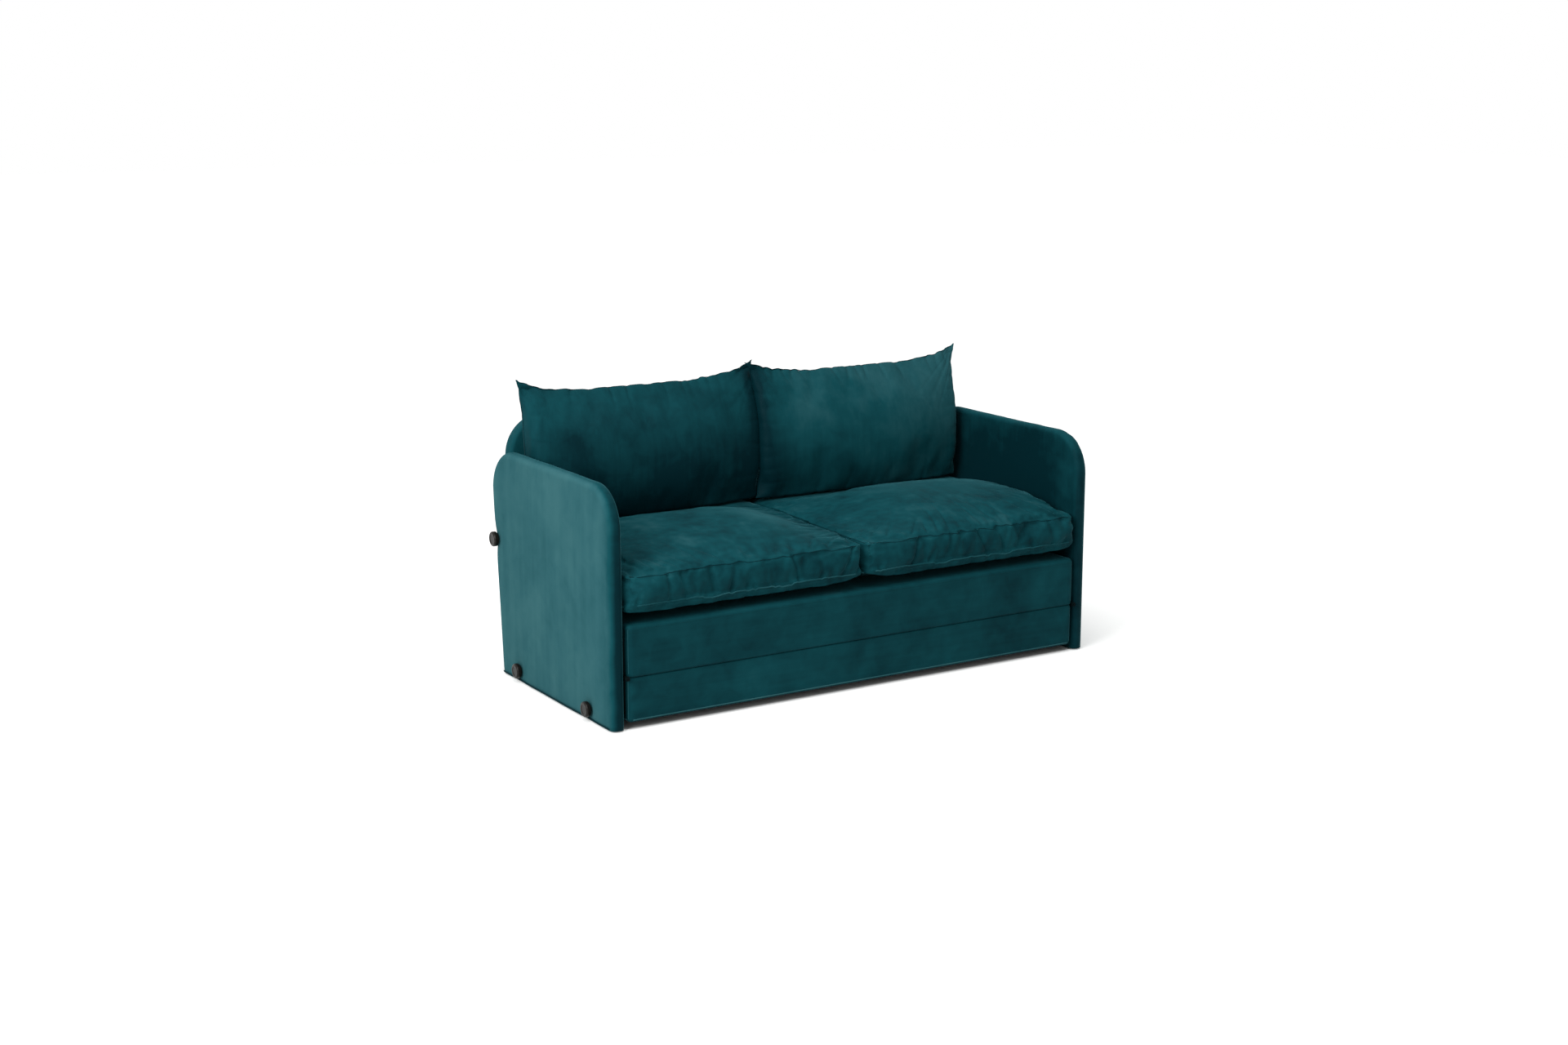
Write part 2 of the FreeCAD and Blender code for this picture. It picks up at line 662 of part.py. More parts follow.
SEAT_STATIONS = (-1, -0.97, -0.92, -0.82, -0.6, -0.3, 0, 0.3, 0.6, 0.82, 0.92, 0.97, 1)


def seat_form(inset):
    """Left seat cushion: crowned, drawn in between its corners, flat where it rests."""
    x0 = -HALF_INNER + SEAT_SIDE_CLEAR + inset
    x1 = -SEAT_SIDE_CLEAR / 2 - inset
    middle = (x0 + x1) / 2
    half = (x1 - x0) / 2
    wires = [seat_section(middle + u * half, u, inset) for u in SEAT_STATIONS]
    return Part.makeLoft(wires, True, False)


def pillow_section(x, u, inset):
    """Section of a knife-edge back cushion: flat foot, bulging front and rear, thin top seam."""
    end = abs(u)
    swell = max(0.0, 1 - end**PILLOW_SWELL_POWER) ** PILLOW_SWELL_FALL
    foot_z = SEAT_SHELF_Z + PILLOW_CLEAR + inset
    top_z = PILLOW_TOP + PILLOW_EAR * end**PILLOW_EAR_POWER - inset
    mid_z = (foot_z + top_z) / 2
    half_inset = inset / 2
    seam = PILLOW_SEAM / 2 - half_inset
    foot_front = seam + (PILLOW_FOOT_FRONT - half_inset) * swell
    foot_rear = seam + PILLOW_FOOT_REAR * swell
    front_sag = PILLOW_EDGE_SAG + PILLOW_FRONT_SAG * swell - half_inset
    rear_sag = PILLOW_EDGE_SAG + PILLOW_REAR_SAG * swell - half_inset
    whole_rear = PILLOW_EDGE_SAG + PILLOW_REAR_SAG + PILLOW_SEAM / 2 + PILLOW_CLEAR

    def at(offset, z):
        return V(x, panel_front(z) - whole_rear / math.cos(RAKE) + offset, z)

    runs = [
        (at(-foot_front, foot_z), at(foot_rear, foot_z)),
        (at(foot_rear, foot_z), at(seam + rear_sag, mid_z), at(seam, top_z)),
        (at(seam, top_z), at(-seam, top_z)),
        (at(-seam, top_z), at(-seam - front_sag, mid_z), at(-foot_front, foot_z)),
    ]
    return closed_wire(runs)


PILLOW_STATIONS = (-1, -0.93, -0.8, -0.55, -0.27, 0, 0.27, 0.55, 0.8, 0.93, 1)


def pillow_form(inset):
    """Left back cushion, with its top drawn down between two pointed corners."""
    x0 = -HALF_INNER + PILLOW_SIDE_CLEAR + inset
    x1 = -PILLOW_SIDE_CLEAR - inset
    middle = (x0 + x1) / 2
    half = (x1 - x0) / 2
    wires = [pillow_section(middle + u * half, u, inset) for u in PILLOW_STATIONS]
    form = Part.makeLoft(wires, True, False)
    tall = form.BoundBox.ZMax - form.BoundBox.ZMin
    radius = tall**2 / (8 * PILLOW_SIDE_DRAW) + PILLOW_SIDE_DRAW / 2
    deep = form.BoundBox.YMax - form.BoundBox.YMin
    waists = []
    for x in (x0 + PILLOW_SIDE_DRAW - radius, x1 - PILLOW_SIDE_DRAW + radius):
        centre = V(x, form.BoundBox.YMin, form.BoundBox.ZMin + tall / 2)
        waists.append(Part.makeCylinder(radius, deep, centre, Y_AXIS))
    return form.cut(waists)


def build():
    parts = {}

    board, foam, cover = arm_parts()
    for name, shape in (("arm_board", board), ("arm_foam", foam), ("arm_cover", cover)):
        parts[name + "_left"] = shape
        parts[name + "_right"] = mirrored(shape)
    parts["arm_glides"] = arm_glides()
    parts["arm_spacers"] = arm_spacers()

    bolt_holes = back_bolt_holes()
    base = box_section(FRONT, BASE_REAR, BASE_BOTTOM, BASE_TOP)
    base["cross_rails"] = base["cross_rails"].cut(INSERT_HOLES)
    base["rear_rail"] = base["rear_rail"].cut(bolt_holes)
    for layer in ("foam", "cover"):
        base[layer] = base[layer].cut(STUD_HOLES).cut(bolt_holes)
    parts.update({"base_" + name: shape for name, shape in base.items()})
    parts["base_feet"] = base_feet()

    fold = box_section(FOLD_FRONT, FOLD_REAR, FOLD_TOP, FOLD_BOTTOM)
    parts.update({"fold_" + name: shape for name, shape in fold.items()})

    back = back_parts()
    back["back_posts"] = back["back_posts"].cut(INSERT_HOLES)
    for layer in ("back_foam", "back_cover"):
        back[layer] = back[layer].cut(STUD_HOLES)
    for layer in ("back_foam", "back_cover", "back_bottom_rail"):
        back[layer] = back[layer].cut(bolt_holes)
    parts.update(back)
    parts["back_wedges"] = back_wedges().cut(bolt_holes)
    parts["back_bolts"] = back_bolts()

    parts["threaded_inserts"] = threaded_inserts()
    for place, (y, z) in KNOB_PLACES.items():
        knob, stud = knob_and_stud(y, z)
        parts[f"knob_{place}_left"] = knob
        parts[f"stud_{place}_left"] = stud
        parts[f"knob_{place}_right"] = mirrored(knob)
        parts[f"stud_{place}_right"] = mirrored(stud)

    base_plate, fold_plate, pin = fold_hinge()
    parts["base_hinge_plates"] = both_sides([base_plate])
    parts["fold_hinge_plates"] = both_sides([fold_plate])
    parts["hinge_pins"] = both_sides([pin])

    cord, loops, tabs = seat_hinge()
    parts["seat_hinge_cords"] = both_sides([cord])
    parts["fold_hinge_loops"] = both_sides(loops)
    parts["seat_hinge_tabs_left"] = group(tabs)
    parts["seat_hinge_tabs_right"] = mirrored(group(tabs))

    cushions = {
        "seat_cushion_cover": seat_form(0).cut(seat_form(COVER)),
        "seat_cushion_core": seat_form(SOFT),
        "back_cushion_cover": pillow_form(0).cut(pillow_form(COVER)),
        "back_cushion_filling": pillow_form(SOFT),
    }
    for name, shape in cushions.items():
        parts[name + "_left"] = shape
        parts[name + "_right"] = mirrored(shape)
    return parts


os.makedirs("parts", exist_ok=True)
for node, shape in build().items():
    shape.exportStep(f"parts/{node}.step")
print(f"fold axis y {FOLD_AXIS_Y:.3f} z {FOLD_AXIS_Z:.3f}")
print(f"seat hinge axis y {CORD_Y:.3f} z {CORD_Z:.3f}")
for place, (y, z) in KNOB_PLACES.items():
    print(f"knob {place} y {y:.3f} z {z:.3f}")
print(f"front {FRONT:.3f} rear foot {REAR_FOOT:.3f} base rear {BASE_REAR:.3f} depth {WHOLE_DEPTH:.3f}")
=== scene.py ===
"""Looks of a two-seat velvet sofa bed: timber and fittings first, then covers, cushions and the studio."""

import json
import math

import bmesh
import bpy
import numpy as np
from mathutils import Matrix, Vector
from mathutils.bvhtree import BVHTree


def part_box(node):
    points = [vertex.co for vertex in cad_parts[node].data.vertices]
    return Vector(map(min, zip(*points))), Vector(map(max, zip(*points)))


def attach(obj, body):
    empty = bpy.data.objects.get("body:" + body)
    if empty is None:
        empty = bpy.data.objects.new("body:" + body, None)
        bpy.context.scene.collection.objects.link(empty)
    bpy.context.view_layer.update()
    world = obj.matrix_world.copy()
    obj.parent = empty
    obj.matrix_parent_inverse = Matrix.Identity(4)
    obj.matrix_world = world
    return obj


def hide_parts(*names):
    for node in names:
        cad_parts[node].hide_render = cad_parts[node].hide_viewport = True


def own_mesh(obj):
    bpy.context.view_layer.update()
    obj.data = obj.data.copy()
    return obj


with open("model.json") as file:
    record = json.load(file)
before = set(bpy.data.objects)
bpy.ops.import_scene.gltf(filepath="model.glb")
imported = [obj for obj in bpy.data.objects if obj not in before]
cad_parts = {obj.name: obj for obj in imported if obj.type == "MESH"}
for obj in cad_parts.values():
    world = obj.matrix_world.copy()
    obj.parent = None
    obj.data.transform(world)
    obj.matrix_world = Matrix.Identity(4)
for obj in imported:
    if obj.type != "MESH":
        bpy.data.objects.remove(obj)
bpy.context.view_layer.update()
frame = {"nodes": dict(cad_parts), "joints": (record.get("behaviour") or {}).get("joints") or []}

# Timber: rails, slats, posts and wedges are planed softwood, glued and screwed, and the arm cores are
# plywood. All of it is bare, with long grain along each piece.
NOISE = "ShaderNodeTexNoise"
EVEN = (1, 1, 1)
ACROSS_GRAIN = 26.0
ALONG_GRAIN = 1.6
PINE_PALE = (0.56, 0.36, 0.17)
PINE_DARK = (0.38, 0.21, 0.085)
PLY_PALE = (0.5, 0.33, 0.16)
PLY_DARK = (0.33, 0.19, 0.08)


def node_in(tree, kind, **settings):
    """Adds one shader node. Settings that name an input socket set that socket."""
    made = tree.nodes.new(kind)
    for name, value in settings.items():
        if hasattr(made, name):
            setattr(made, name, value)
        else:
            made.inputs[name.replace("_", " ")].default_value = value
    return made


def new_material(name):
    """Empty node material with its Principled shader."""
    made = bpy.data.materials.new(name)
    made.use_nodes = True
    return made, made.node_tree, made.node_tree.nodes["Principled BSDF"]


def bump_into(tree, shader, height, strength, distance):
    bump = node_in(tree, "ShaderNodeBump", Strength=strength, Distance=distance)
    tree.links.new(height, bump.inputs["Height"])
    tree.links.new(bump.outputs["Normal"], shader.inputs["Normal"])


def ramp_from(tree, factor, stops):
    """Colour ramp over a factor, from (position, colour) stops."""
    ramp = node_in(tree, "ShaderNodeValToRGB")
    elements = ramp.color_ramp.elements
    while len(elements) < len(stops):
        elements.new(0.5)
    for element, (position, colour) in zip(elements, stops):
        element.position = position
        element.color = (*colour, 1)
    tree.links.new(factor, ramp.inputs["Fac"])
    return ramp.outputs["Color"]


def own_place(tree):
    """The piece's own coordinates."""
    return node_in(tree, "ShaderNodeTexCoord").outputs["Object"]


def texture(tree, vector, kind, stretch, **settings):
    """Strength of a procedural texture over stretched coordinates."""
    turn = node_in(tree, "ShaderNodeMapping", Scale=stretch)
    made = node_in(tree, kind, **settings)
    tree.links.new(vector, turn.inputs["Vector"])
    tree.links.new(turn.outputs["Vector"], made.inputs["Vector"])
    return made.outputs["Fac"]


def patterned(name, kind, stops, roughness, bump, stretch=EVEN, **settings):
    """Material whose colour and relief follow one texture. bump is the relief's strength and depth."""
    made, tree, shader = new_material(name)
    pattern = texture(tree, own_place(tree), kind, stretch, **settings)
    tree.links.new(ramp_from(tree, pattern, stops), shader.inputs["Base Color"])
    shader.inputs["Roughness"].default_value = roughness
    bump_into(tree, shader, pattern, *bump)
    return made, shader


def wood(name, grain_axis, pale, dark):
    """Planed wood whose grain runs along one axis."""
    stretch = [ACROSS_GRAIN] * 3
    stretch[grain_axis] = ALONG_GRAIN
    stops = [(0.32, dark), (0.5, pale), (0.72, dark)]
    rings = {"Scale": 1.0, "Detail": 6.0, "Roughness": 0.6, "Distortion": 1.2}
    return patterned(name, NOISE, stops, 0.62, (0.25, 0.001), stretch, **rings)[0]


def finish_nodes(material, *names):
    """Gives CAD nodes that keep their shape a material of their own."""
    for name in names:
        data = frame["nodes"][name].data
        data.materials.clear()
        data.materials.append(material)


along_x = wood("pine_along_the_sofa", 0, PINE_PALE, PINE_DARK)
along_y = wood("pine_front_to_rear", 1, PINE_PALE, PINE_DARK)
upright = wood("pine_upright", 2, PINE_PALE, PINE_DARK)
plywood = wood("arm_plywood", 2, PLY_PALE, PLY_DARK)
for section in ("base", "fold"):
    finish_nodes(along_x, f"{section}_front_rail", f"{section}_rear_rail")
    finish_nodes(along_y, f"{section}_cross_rails", f"{section}_slats")
finish_nodes(along_x, "back_top_rail", "back_bottom_rail", "back_wedges")
finish_nodes(upright, "back_posts")
finish_nodes(plywood, "arm_board_left", "arm_board_right")

# Steel fittings: black powder-coated hinge plates and pins beside the arms, and zinc-plated bolts, threaded
# inserts and studs that hold the knock-down frame together.
SIDES = ("left", "right")
KNOB_PLACES = ("front", "rear", "back")
COAT_DEPTH = 0.0004


def coated(name, dark, pale, roughness, metallic, grain, bump, specular=0.5):
    """Hard finish with a fine grain in its colour and surface."""
    stops = [(0.35, dark), (0.65, pale)]
    made, shader = patterned(name, NOISE, stops, roughness, (bump, COAT_DEPTH), Scale=grain, Detail=3.0)
    shader.inputs["Metallic"].default_value = metallic
    shader.inputs["Specular IOR Level"].default_value = specular
    return made


powder_black = coated(
    "black_powder_coat", (0.0006, 0.003, 0.0038), (0.001, 0.005, 0.006), 0.8, 0.0, 900.0, 0.3, 0.05
)
zinc = coated("zinc_plate", (0.42, 0.42, 0.4), (0.6, 0.6, 0.57), 0.35, 1.0, 300.0, 0.1)
finish_nodes(powder_black, "base_hinge_plates", "fold_hinge_plates", "hinge_pins")
finish_nodes(zinc, "threaded_inserts", "back_bolts")
for side in SIDES:
    finish_nodes(zinc, *(f"stud_{place}_{side}" for place in KNOB_PLACES))

# Plastic fittings: matt black glides, feet and spacers, and the satin hand knobs, moulded with a shallow
# dish and a faint grain, and a little browner than the rest.
moulded_black = coated("moulded_black", (0.014, 0.014, 0.015), (0.024, 0.024, 0.026), 0.6, 0.0, 500.0, 0.25)
knob_satin = coated("knob_satin", (0.004, 0.0035, 0.003), (0.009, 0.0075, 0.006), 0.3, 0.0, 160.0, 0.06, 0.16)
finish_nodes(moulded_black, "arm_glides", "base_feet", "arm_spacers")
for side in SIDES:
    finish_nodes(knob_satin, *(f"knob_{place}_{side}" for place in KNOB_PLACES))

# Base and fold-out section: foam boxes in velvet, stacked, whose front edges meet in a fine seam. The velvet
# is a short pile, pulled tight over rounded edges. Its colour is painted per point with light and shade, on
# top of the pile's own mottled tone.
VELVET_DEEP = (0.0004, 0.0158, 0.0212)
VELVET_MID = (0.0034, 0.0505, 0.0615)
VELVET_LIGHT = (0.022, 0.09, 0.104)
VELVET_PALE = (0.0325, 0.11, 0.1225)
LAY_RANGE = 0.78
NAP_STRETCH = (70, 70, 5)
SHEEN_TINT = (0.2, 0.62, 0.7, 1)


def math_in(tree, operation, *values):
    """Output of a Math node whose inputs are sockets or plain numbers."""
    made = node_in(tree, "ShaderNodeMath", operation=operation)
    for socket, value in zip(made.inputs, values):
        if isinstance(value, bpy.types.NodeSocket):
            tree.links.new(value, socket)
        else:
            socket.default_value = value
    return made.outputs[0]


def velvet_pile_group():
    """Node group for velvet: the painted light and shade it is given, mottled tone, fine streaks along the
    nap, and the pile's own grain.
    """
    group = bpy.data.node_groups.new("velvet_pile", "ShaderNodeTree")
    for name, way, kind in (
        ("Vector", "INPUT", "Vector"), ("Light_and_lay", "INPUT", "Float"),
        ("Color", "OUTPUT", "Color"), ("Roughness", "OUTPUT", "Float"), ("Height", "OUTPUT", "Float"),
    ):
        group.interface.new_socket(name, in_out=way, socket_type=f"NodeSocket{kind}")
    into = node_in(group, "NodeGroupInput")
    out = node_in(group, "NodeGroupOutput")

    def noise(scale, detail, distortion, stretch=EVEN):
        vector = into.outputs["Vector"]
        return texture(group, vector, NOISE, stretch, Scale=scale, Detail=detail, Distortion=distortion)

    def scaled_sum(first, second, factor, offset):
        """first + second * factor + offset"""
        return math_in(group, "ADD", first, math_in(group, "MULTIPLY_ADD", second, factor, offset))

    patches = noise(4.5, 2.0, 0.5)
    clouds = noise(21.0, 2.0, 0.6)
    streaks = noise(1.0, 3.0, 0.2, NAP_STRETCH)
    pile = noise(1300.0, 2.0, 0.0)
    light_and_lay = into.outputs["Light_and_lay"]
    for pattern, amount in ((patches, 0.75), (clouds, 0.34), (streaks, 0.2)):
        light_and_lay = scaled_sum(light_and_lay, pattern, amount, -amount / 2)
    shade = math_in(group, "MULTIPLY", light_and_lay, LAY_RANGE)
    stops = [(0.0, VELVET_DEEP), (0.5 * LAY_RANGE, VELVET_MID), (LAY_RANGE, VELVET_LIGHT), (1.0, VELVET_PALE)]
    group.links.new(ramp_from(group, shade, stops), out.inputs["Color"])
    group.links.new(scaled_sum(pile, light_and_lay, 0.2, 0.15), out.inputs["Roughness"])
    group.links.new(scaled_sum(pile, streaks, 0.5, 0.0), out.inputs["Height"])
    return group


velvet_pile = velvet_pile_group()


def velvet(name, turn=(0.0, 0.0, 0.0)):
    """Teal velvet whose streaks run along its own turned Z, and whose painted light and shade is written on
    the piece.
    """
    made, tree, shader = new_material(name)
    move = node_in(tree, "ShaderNodeMapping", Rotation=turn)
    light_and_lay = node_in(tree, "ShaderNodeAttribute", attribute_name="light_and_lay")
    pile = node_in(tree, "ShaderNodeGroup", node_tree=velvet_pile)
    tree.links.new(own_place(tree), move.inputs["Vector"])
    tree.links.new(move.outputs["Vector"], pile.inputs["Vector"])
    tree.links.new(light_and_lay.outputs["Fac"], pile.inputs["Light_and_lay"])
    tree.links.new(pile.outputs["Color"], shader.inputs["Base Color"])
    tree.links.new(pile.outputs["Roughness"], shader.inputs["Roughness"])
    bump_into(tree, shader, pile.outputs["Height"], 0.35, 0.0008)
    shader.inputs["Sheen Weight"].default_value = 0.24
    shader.inputs["Sheen Roughness"].default_value = 0.2
    shader.inputs["Sheen Tint"].default_value = SHEEN_TINT
    shader.inputs["Specular IOR Level"].default_value = 0.04
    return made


def placed(name, data):
    """New object in the scene."""
    made = bpy.data.objects.new(name, data)
    bpy.context.scene.collection.objects.link(made)
    return made


def mesh_from(name, bm):
    data = bpy.data.meshes.new(name)
    bm.to_mesh(data)
    bm.free()
    return data


def dress(piece, body, material):
    """Covers a piece in one smooth-shaded material and lets it ride on a body."""
    data = piece.data
    data.materials.clear()
    data.materials.append(material)
    data.shade_smooth()
    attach(piece, body)


def new_piece(name, bm, body, material):
    """Finished mesh as a piece that rides on a body."""
    piece = placed(name, mesh_from(name, bm))
    dress(piece, body, material)
    return piece


def round_edges(bm, edges, radius, steps):
    bmesh.ops.bevel(bm, geom=edges, offset=radius, segments=steps, profile=0.5, affect="EDGES", material=-1)


def edges_at(bm, axis, value):
    """Edges that lie wholly at one coordinate."""
    return [edge for edge in bm.edges if all(abs(vert.co[axis] - value) < 1e-6 for vert in edge.verts)]


def cut_evenly(bm, axis, low, high, step):
    """Cuts a mesh by even planes across one axis, so that it can bend."""
    normal = Vector((0, 0, 0))
    normal[axis] = 1
    count = max(1, round((high - low) / step))
    for i in range(1, count):
        spot = normal * (low + (high - low) * i / count)
        everything = bm.verts[:] + bm.edges[:] + bm.faces[:]
        bmesh.ops.bisect_plane(bm, geom=everything, plane_co=spot, plane_no=normal, dist=1e-5)


def surface_of(piece):
    """Points and normals of a piece, each as three rows x, y, z."""
    found = []
    for kind in ("co", "normal"):
        values = np.empty(len(piece.data.vertices) * 3)
        piece.data.vertices.foreach_get(kind, values)
        found.append(values.reshape(-1, 3).T)
    return found


def set_points(piece, points):
    piece.data.vertices.foreach_set("co", np.ascontiguousarray(points.T).ravel())
    piece.data.update()


def move_along_normals(piece, amount):
    """Moves each point along its normal by amount(points, normals)."""
    points, normals = surface_of(piece)
    set_points(piece, points + normals * amount(points, normals))


def paint_light_and_lay(piece, light_and_lay):
    """Writes the velvet's painted light and shade, with any tone of its own, at each point, from a function
    of points and normals.
    """
    points, normals = surface_of(piece)
    values = np.zeros(points.shape[1]) + light_and_lay(points, normals)
    piece.data.attributes.new("light_and_lay", "FLOAT", "POINT").data.foreach_set("value", values)


def ease(t):
    t = np.clip(t, 0, 1)
    return t * t * (3 - 2 * t)


def near(distance, reach):
    """1 at a line, falling softly to 0 some way past its reach."""
    return np.exp(-((distance / reach) ** 2))


def soft_noise(u, v, seed):
    """Smooth gradient noise over two coordinates, about -1 to 1."""
    dice = np.random.default_rng(seed)
    lean = dice.uniform(0, 2 * math.pi, 256)
    table = dice.permutation(256)
    u, v = np.broadcast_arrays(u, v)
    cell_u = np.floor(u).astype(int)
    cell_v = np.floor(v).astype(int)
    part_u = u - cell_u
    part_v = v - cell_v

    def corner(du, dv):
        angle = lean[table[(table[(cell_u + du) & 255] + cell_v + dv) & 255]]
        return np.cos(angle) * (part_u - du) + np.sin(angle) * (part_v - dv)

    smooth_u = part_u**3 * (part_u * (part_u * 6 - 15) + 10)
    smooth_v = part_v**3 * (part_v * (part_v * 6 - 15) + 10)
    low = corner(0, 0) + smooth_u * (corner(1, 0) - corner(0, 0))
    high = corner(0, 1) + smooth_u * (corner(1, 1) - corner(0, 1))
    return 1.5 * (low + smooth_v * (high - low))


def crease(u, v, seed):
    """Narrow folds that wander along v, from -1 in a fold to 0 between them."""
    return -near(soft_noise(u, v, seed), 0.13)


def tube_along(name, points, radius, light_and_lay, body, material):
    """Thin round welt along a run of points, in velvet of one tone. For some welts that tone is a painted
    highlight, and for one a painted shadow.
    """
    curve = bpy.data.curves.new(name, "CURVE")
    curve.dimensions = "3D"
    curve.bevel_depth = radius
    curve.bevel_resolution = 2
    curve.use_fill_caps = True
    spline = curve.splines.new("POLY")
    spline.points.add(len(points) - 1)
    for item, point in zip(spline.points, points):
        item.co = (*point, 1)
    holder = placed(name, curve)
    data = bpy.data.meshes.new_from_object(holder.evaluated_get(bpy.context.evaluated_depsgraph_get()))
    bpy.data.objects.remove(holder)
    data.name = name
    welt = placed(name, data)
    dress(welt, body, material)
    paint_light_and_lay(welt, lambda points, normals: light_and_lay)
    return welt


def sew_along(piece, name, route, *welt):
    """Welt on a finished piece, through the points of its surface that are nearest to a route."""
    tree = BVHTree.FromObject(piece, bpy.context.evaluated_depsgraph_get())
    points = [tree.find_nearest(Vector(point))[0] for point in route]
    return tube_along(name, points, *welt)


# Each welt, hem or thread is given as its radius and its tone. The base hem and the end welts are painted
# highlights: light lines along the base's bottom edge and up the rounded ends.
FOLD_HEM = (0.0008, 0.42)
BASE_HEM_HIGHLIGHT = (0.0017, 1.1)
END_HIGHLIGHT_WELT = (0.0009, 0.9)
HEM_RETURN = 0.1
BOX_END_EDGE = 0.015
BOX_SEAM_EDGE = 0.005
BOX_LINED_EDGE = 0.01
BOX_EDGE_STEPS = 5
BOX_CUT = 0.022
BOX_PUFF = 0.0012
BOX_RIPPLE = 0.0007
BOX_LAY = 0.34
# Painted light: the boxes' tops are lighter and their undersides darker.
BOX_TOP_LIGHT = 0.1


def velvet_box(name, node, foam, body, open_up, seed):
    """Upholstered box that is closed in by a lining on one side."""
    low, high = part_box(node)
    bm = bmesh.new()
    bmesh.ops.create_cube(bm, size=1)
    bmesh.ops.scale(bm, vec=high - low, verts=bm.verts)
    bmesh.ops.translate(bm, vec=(low + high) / 2, verts=bm.verts)
    lined_z, seam_z = (high.z, low.z) if open_up else (low.z, high.z)
    uprights = [edge for edge in bm.edges if abs(edge.verts[0].co.z - edge.verts[1].co.z) > 1e-3]
    round_edges(bm, uprights, BOX_END_EDGE, BOX_EDGE_STEPS)
    round_edges(bm, edges_at(bm, 2, seam_z), BOX_SEAM_EDGE, BOX_EDGE_STEPS)
    round_edges(bm, edges_at(bm, 2, lined_z), BOX_LINED_EDGE, BOX_EDGE_STEPS)
    cut_evenly(bm, 0, low.x, high.x, BOX_CUT)
    cut_evenly(bm, 1, low.y, high.y, 2 * BOX_CUT)
    cut_evenly(bm, 2, low.z, high.z, BOX_CUT / 2)
    piece = new_piece(name, bm, body, box_velvet)

    def puff(points, normals):
        x, y, z = points
        across = np.sin(math.pi * np.clip((z - low.z) / (high.z - low.z), 0, 1))
        return ease(-normals[1]) * across * (BOX_PUFF + BOX_RIPPLE * soft_noise(x * 5, z * 9, seed))

    move_along_normals(piece, puff)
    # Painted light and shade: lighter where the surface faces up, darker where it faces down.
    paint_light_and_lay(piece, lambda points, normals: BOX_LAY + BOX_TOP_LIGHT * normals[2])
    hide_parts(node, foam)
    hem_z = high.z - BOX_LINED_EDGE if open_up else low.z + 0.75 * BOX_LINED_EDGE
    turn_y = low.y + BOX_END_EDGE
    stop_y = low.y + HEM_RETURN
    route = [(low.x, stop_y), (low.x, turn_y)]
    route += [(x, low.y) for x in np.linspace(low.x + BOX_END_EDGE, high.x - BOX_END_EDGE, 90)]
    route += [(high.x, turn_y), (high.x, stop_y)]
    # Painted highlight: the base section's hem is a light line along its bottom edge; the fold section's hem
    # is in about the box's own tone.
    hem = FOLD_HEM if open_up else BASE_HEM_HIGHLIGHT
    sew_along(piece, f"{name}_hem", [(x, y, hem_z) for x, y in route], *hem, body, box_velvet)
    # Painted highlight: a light welt up each rounded end.
    rise = np.linspace(low.z + BOX_LINED_EDGE, high.z - BOX_LINED_EDGE, 24)
    for end, x in zip(SIDES, (low.x, high.x)):
        route = [(x, low.y + 0.3 * BOX_END_EDGE, z) for z in rise]
        sew_along(piece, f"{name}_end_highlight_welt_{end}", route, *END_HIGHLIGHT_WELT, body, box_velvet)


box_velvet = velvet("section_velvet", turn=(0.0, math.radians(90), 0.0))
velvet_box("base_section", "base_cover", "base_foam", "frame", False, 1)
velvet_box("fold_section", "fold_cover", "fold_foam", "fold_out", True, 2)

# Linings: black spunbond cloth stapled over the open sides of the base and the fold-out section. It sags
# a little between the rails.
LINING = 0.0006
LINING_INSET = 0.012
BASE_SAG = -0.0025
FOLD_SAG = -0.0012


def thicken(piece, thickness):
    """Gives a sheet its thickness, half on each side."""
    thick = piece.modifiers.new("thickness", "SOLIDIFY")
    thick.thickness = thickness
    thick.offset = 0


def lining_sheet(name, node, body, z, sag):
    low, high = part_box(node)
    low += Vector((LINING_INSET, LINING_INSET, 0))
    high -= Vector((LINING_INSET, LINING_INSET, 0))
    size = high - low
    bm = bmesh.new()
    bmesh.ops.create_grid(bm, x_segments=60, y_segments=26, size=0.5)
    bmesh.ops.scale(bm, vec=(size.x, size.y, 1), verts=bm.verts)
    bmesh.ops.translate(bm, vec=((low.x + high.x) / 2, (low.y + high.y) / 2, z), verts=bm.verts)
    for vert in bm.verts:
        u = (vert.co.x - low.x) / size.x
        v = (vert.co.y - low.y) / size.y
        vert.co.z += sag * math.sin(math.pi * u) ** 2 * math.sin(math.pi * v)
    piece = new_piece(name, bm, body, black_lining)
    thicken(piece, LINING)
    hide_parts(node)


lining_black = [(0.3, (0.008, 0.008, 0.009)), (0.7, (0.022, 0.022, 0.024))]
black_lining = patterned(
    "black_spunbond", NOISE, lining_black, 0.9, (0.4, 0.0005), Scale=650.0, Detail=4.0
)[0]
base_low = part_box("base_lining")[0].z
fold_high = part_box("fold_lining")[1].z
lining_sheet("base_underside_lining", "base_lining", "frame", base_low - LINING, BASE_SAG)
lining_sheet("fold_section_lining", "fold_lining", "fold_out", fold_high - LINING, FOLD_SAG)

# Arms: plywood boards wrapped in thin foam, each in a velvet sock that runs softly round the edges. A fine
# seam runs round each arm's right-hand edge in a light tone, a painted highlight along that edge, and a dark
# tube along the outer foot is a painted shadow. The knobs dimple the velvet. Outer faces and tops are painted
# lighter, and inner faces and fronts darker, as the light falls on them.
ARM_CORNER = 0.12
ARM_RAKE = math.radians(4.8)
ARM_OUTER_EDGE = 0.019
ARM_INNER_EDGE = 0.014
ARM_CUT = 0.014
ARM_PUFF = 0.0016
ARM_RIPPLE = 0.0008
ARM_PULL = 0.0022
ARM_EDGE_WAVE = 0.0016
DIMPLE_DEPTH = 0.003
DIMPLE_REACH = 0.034
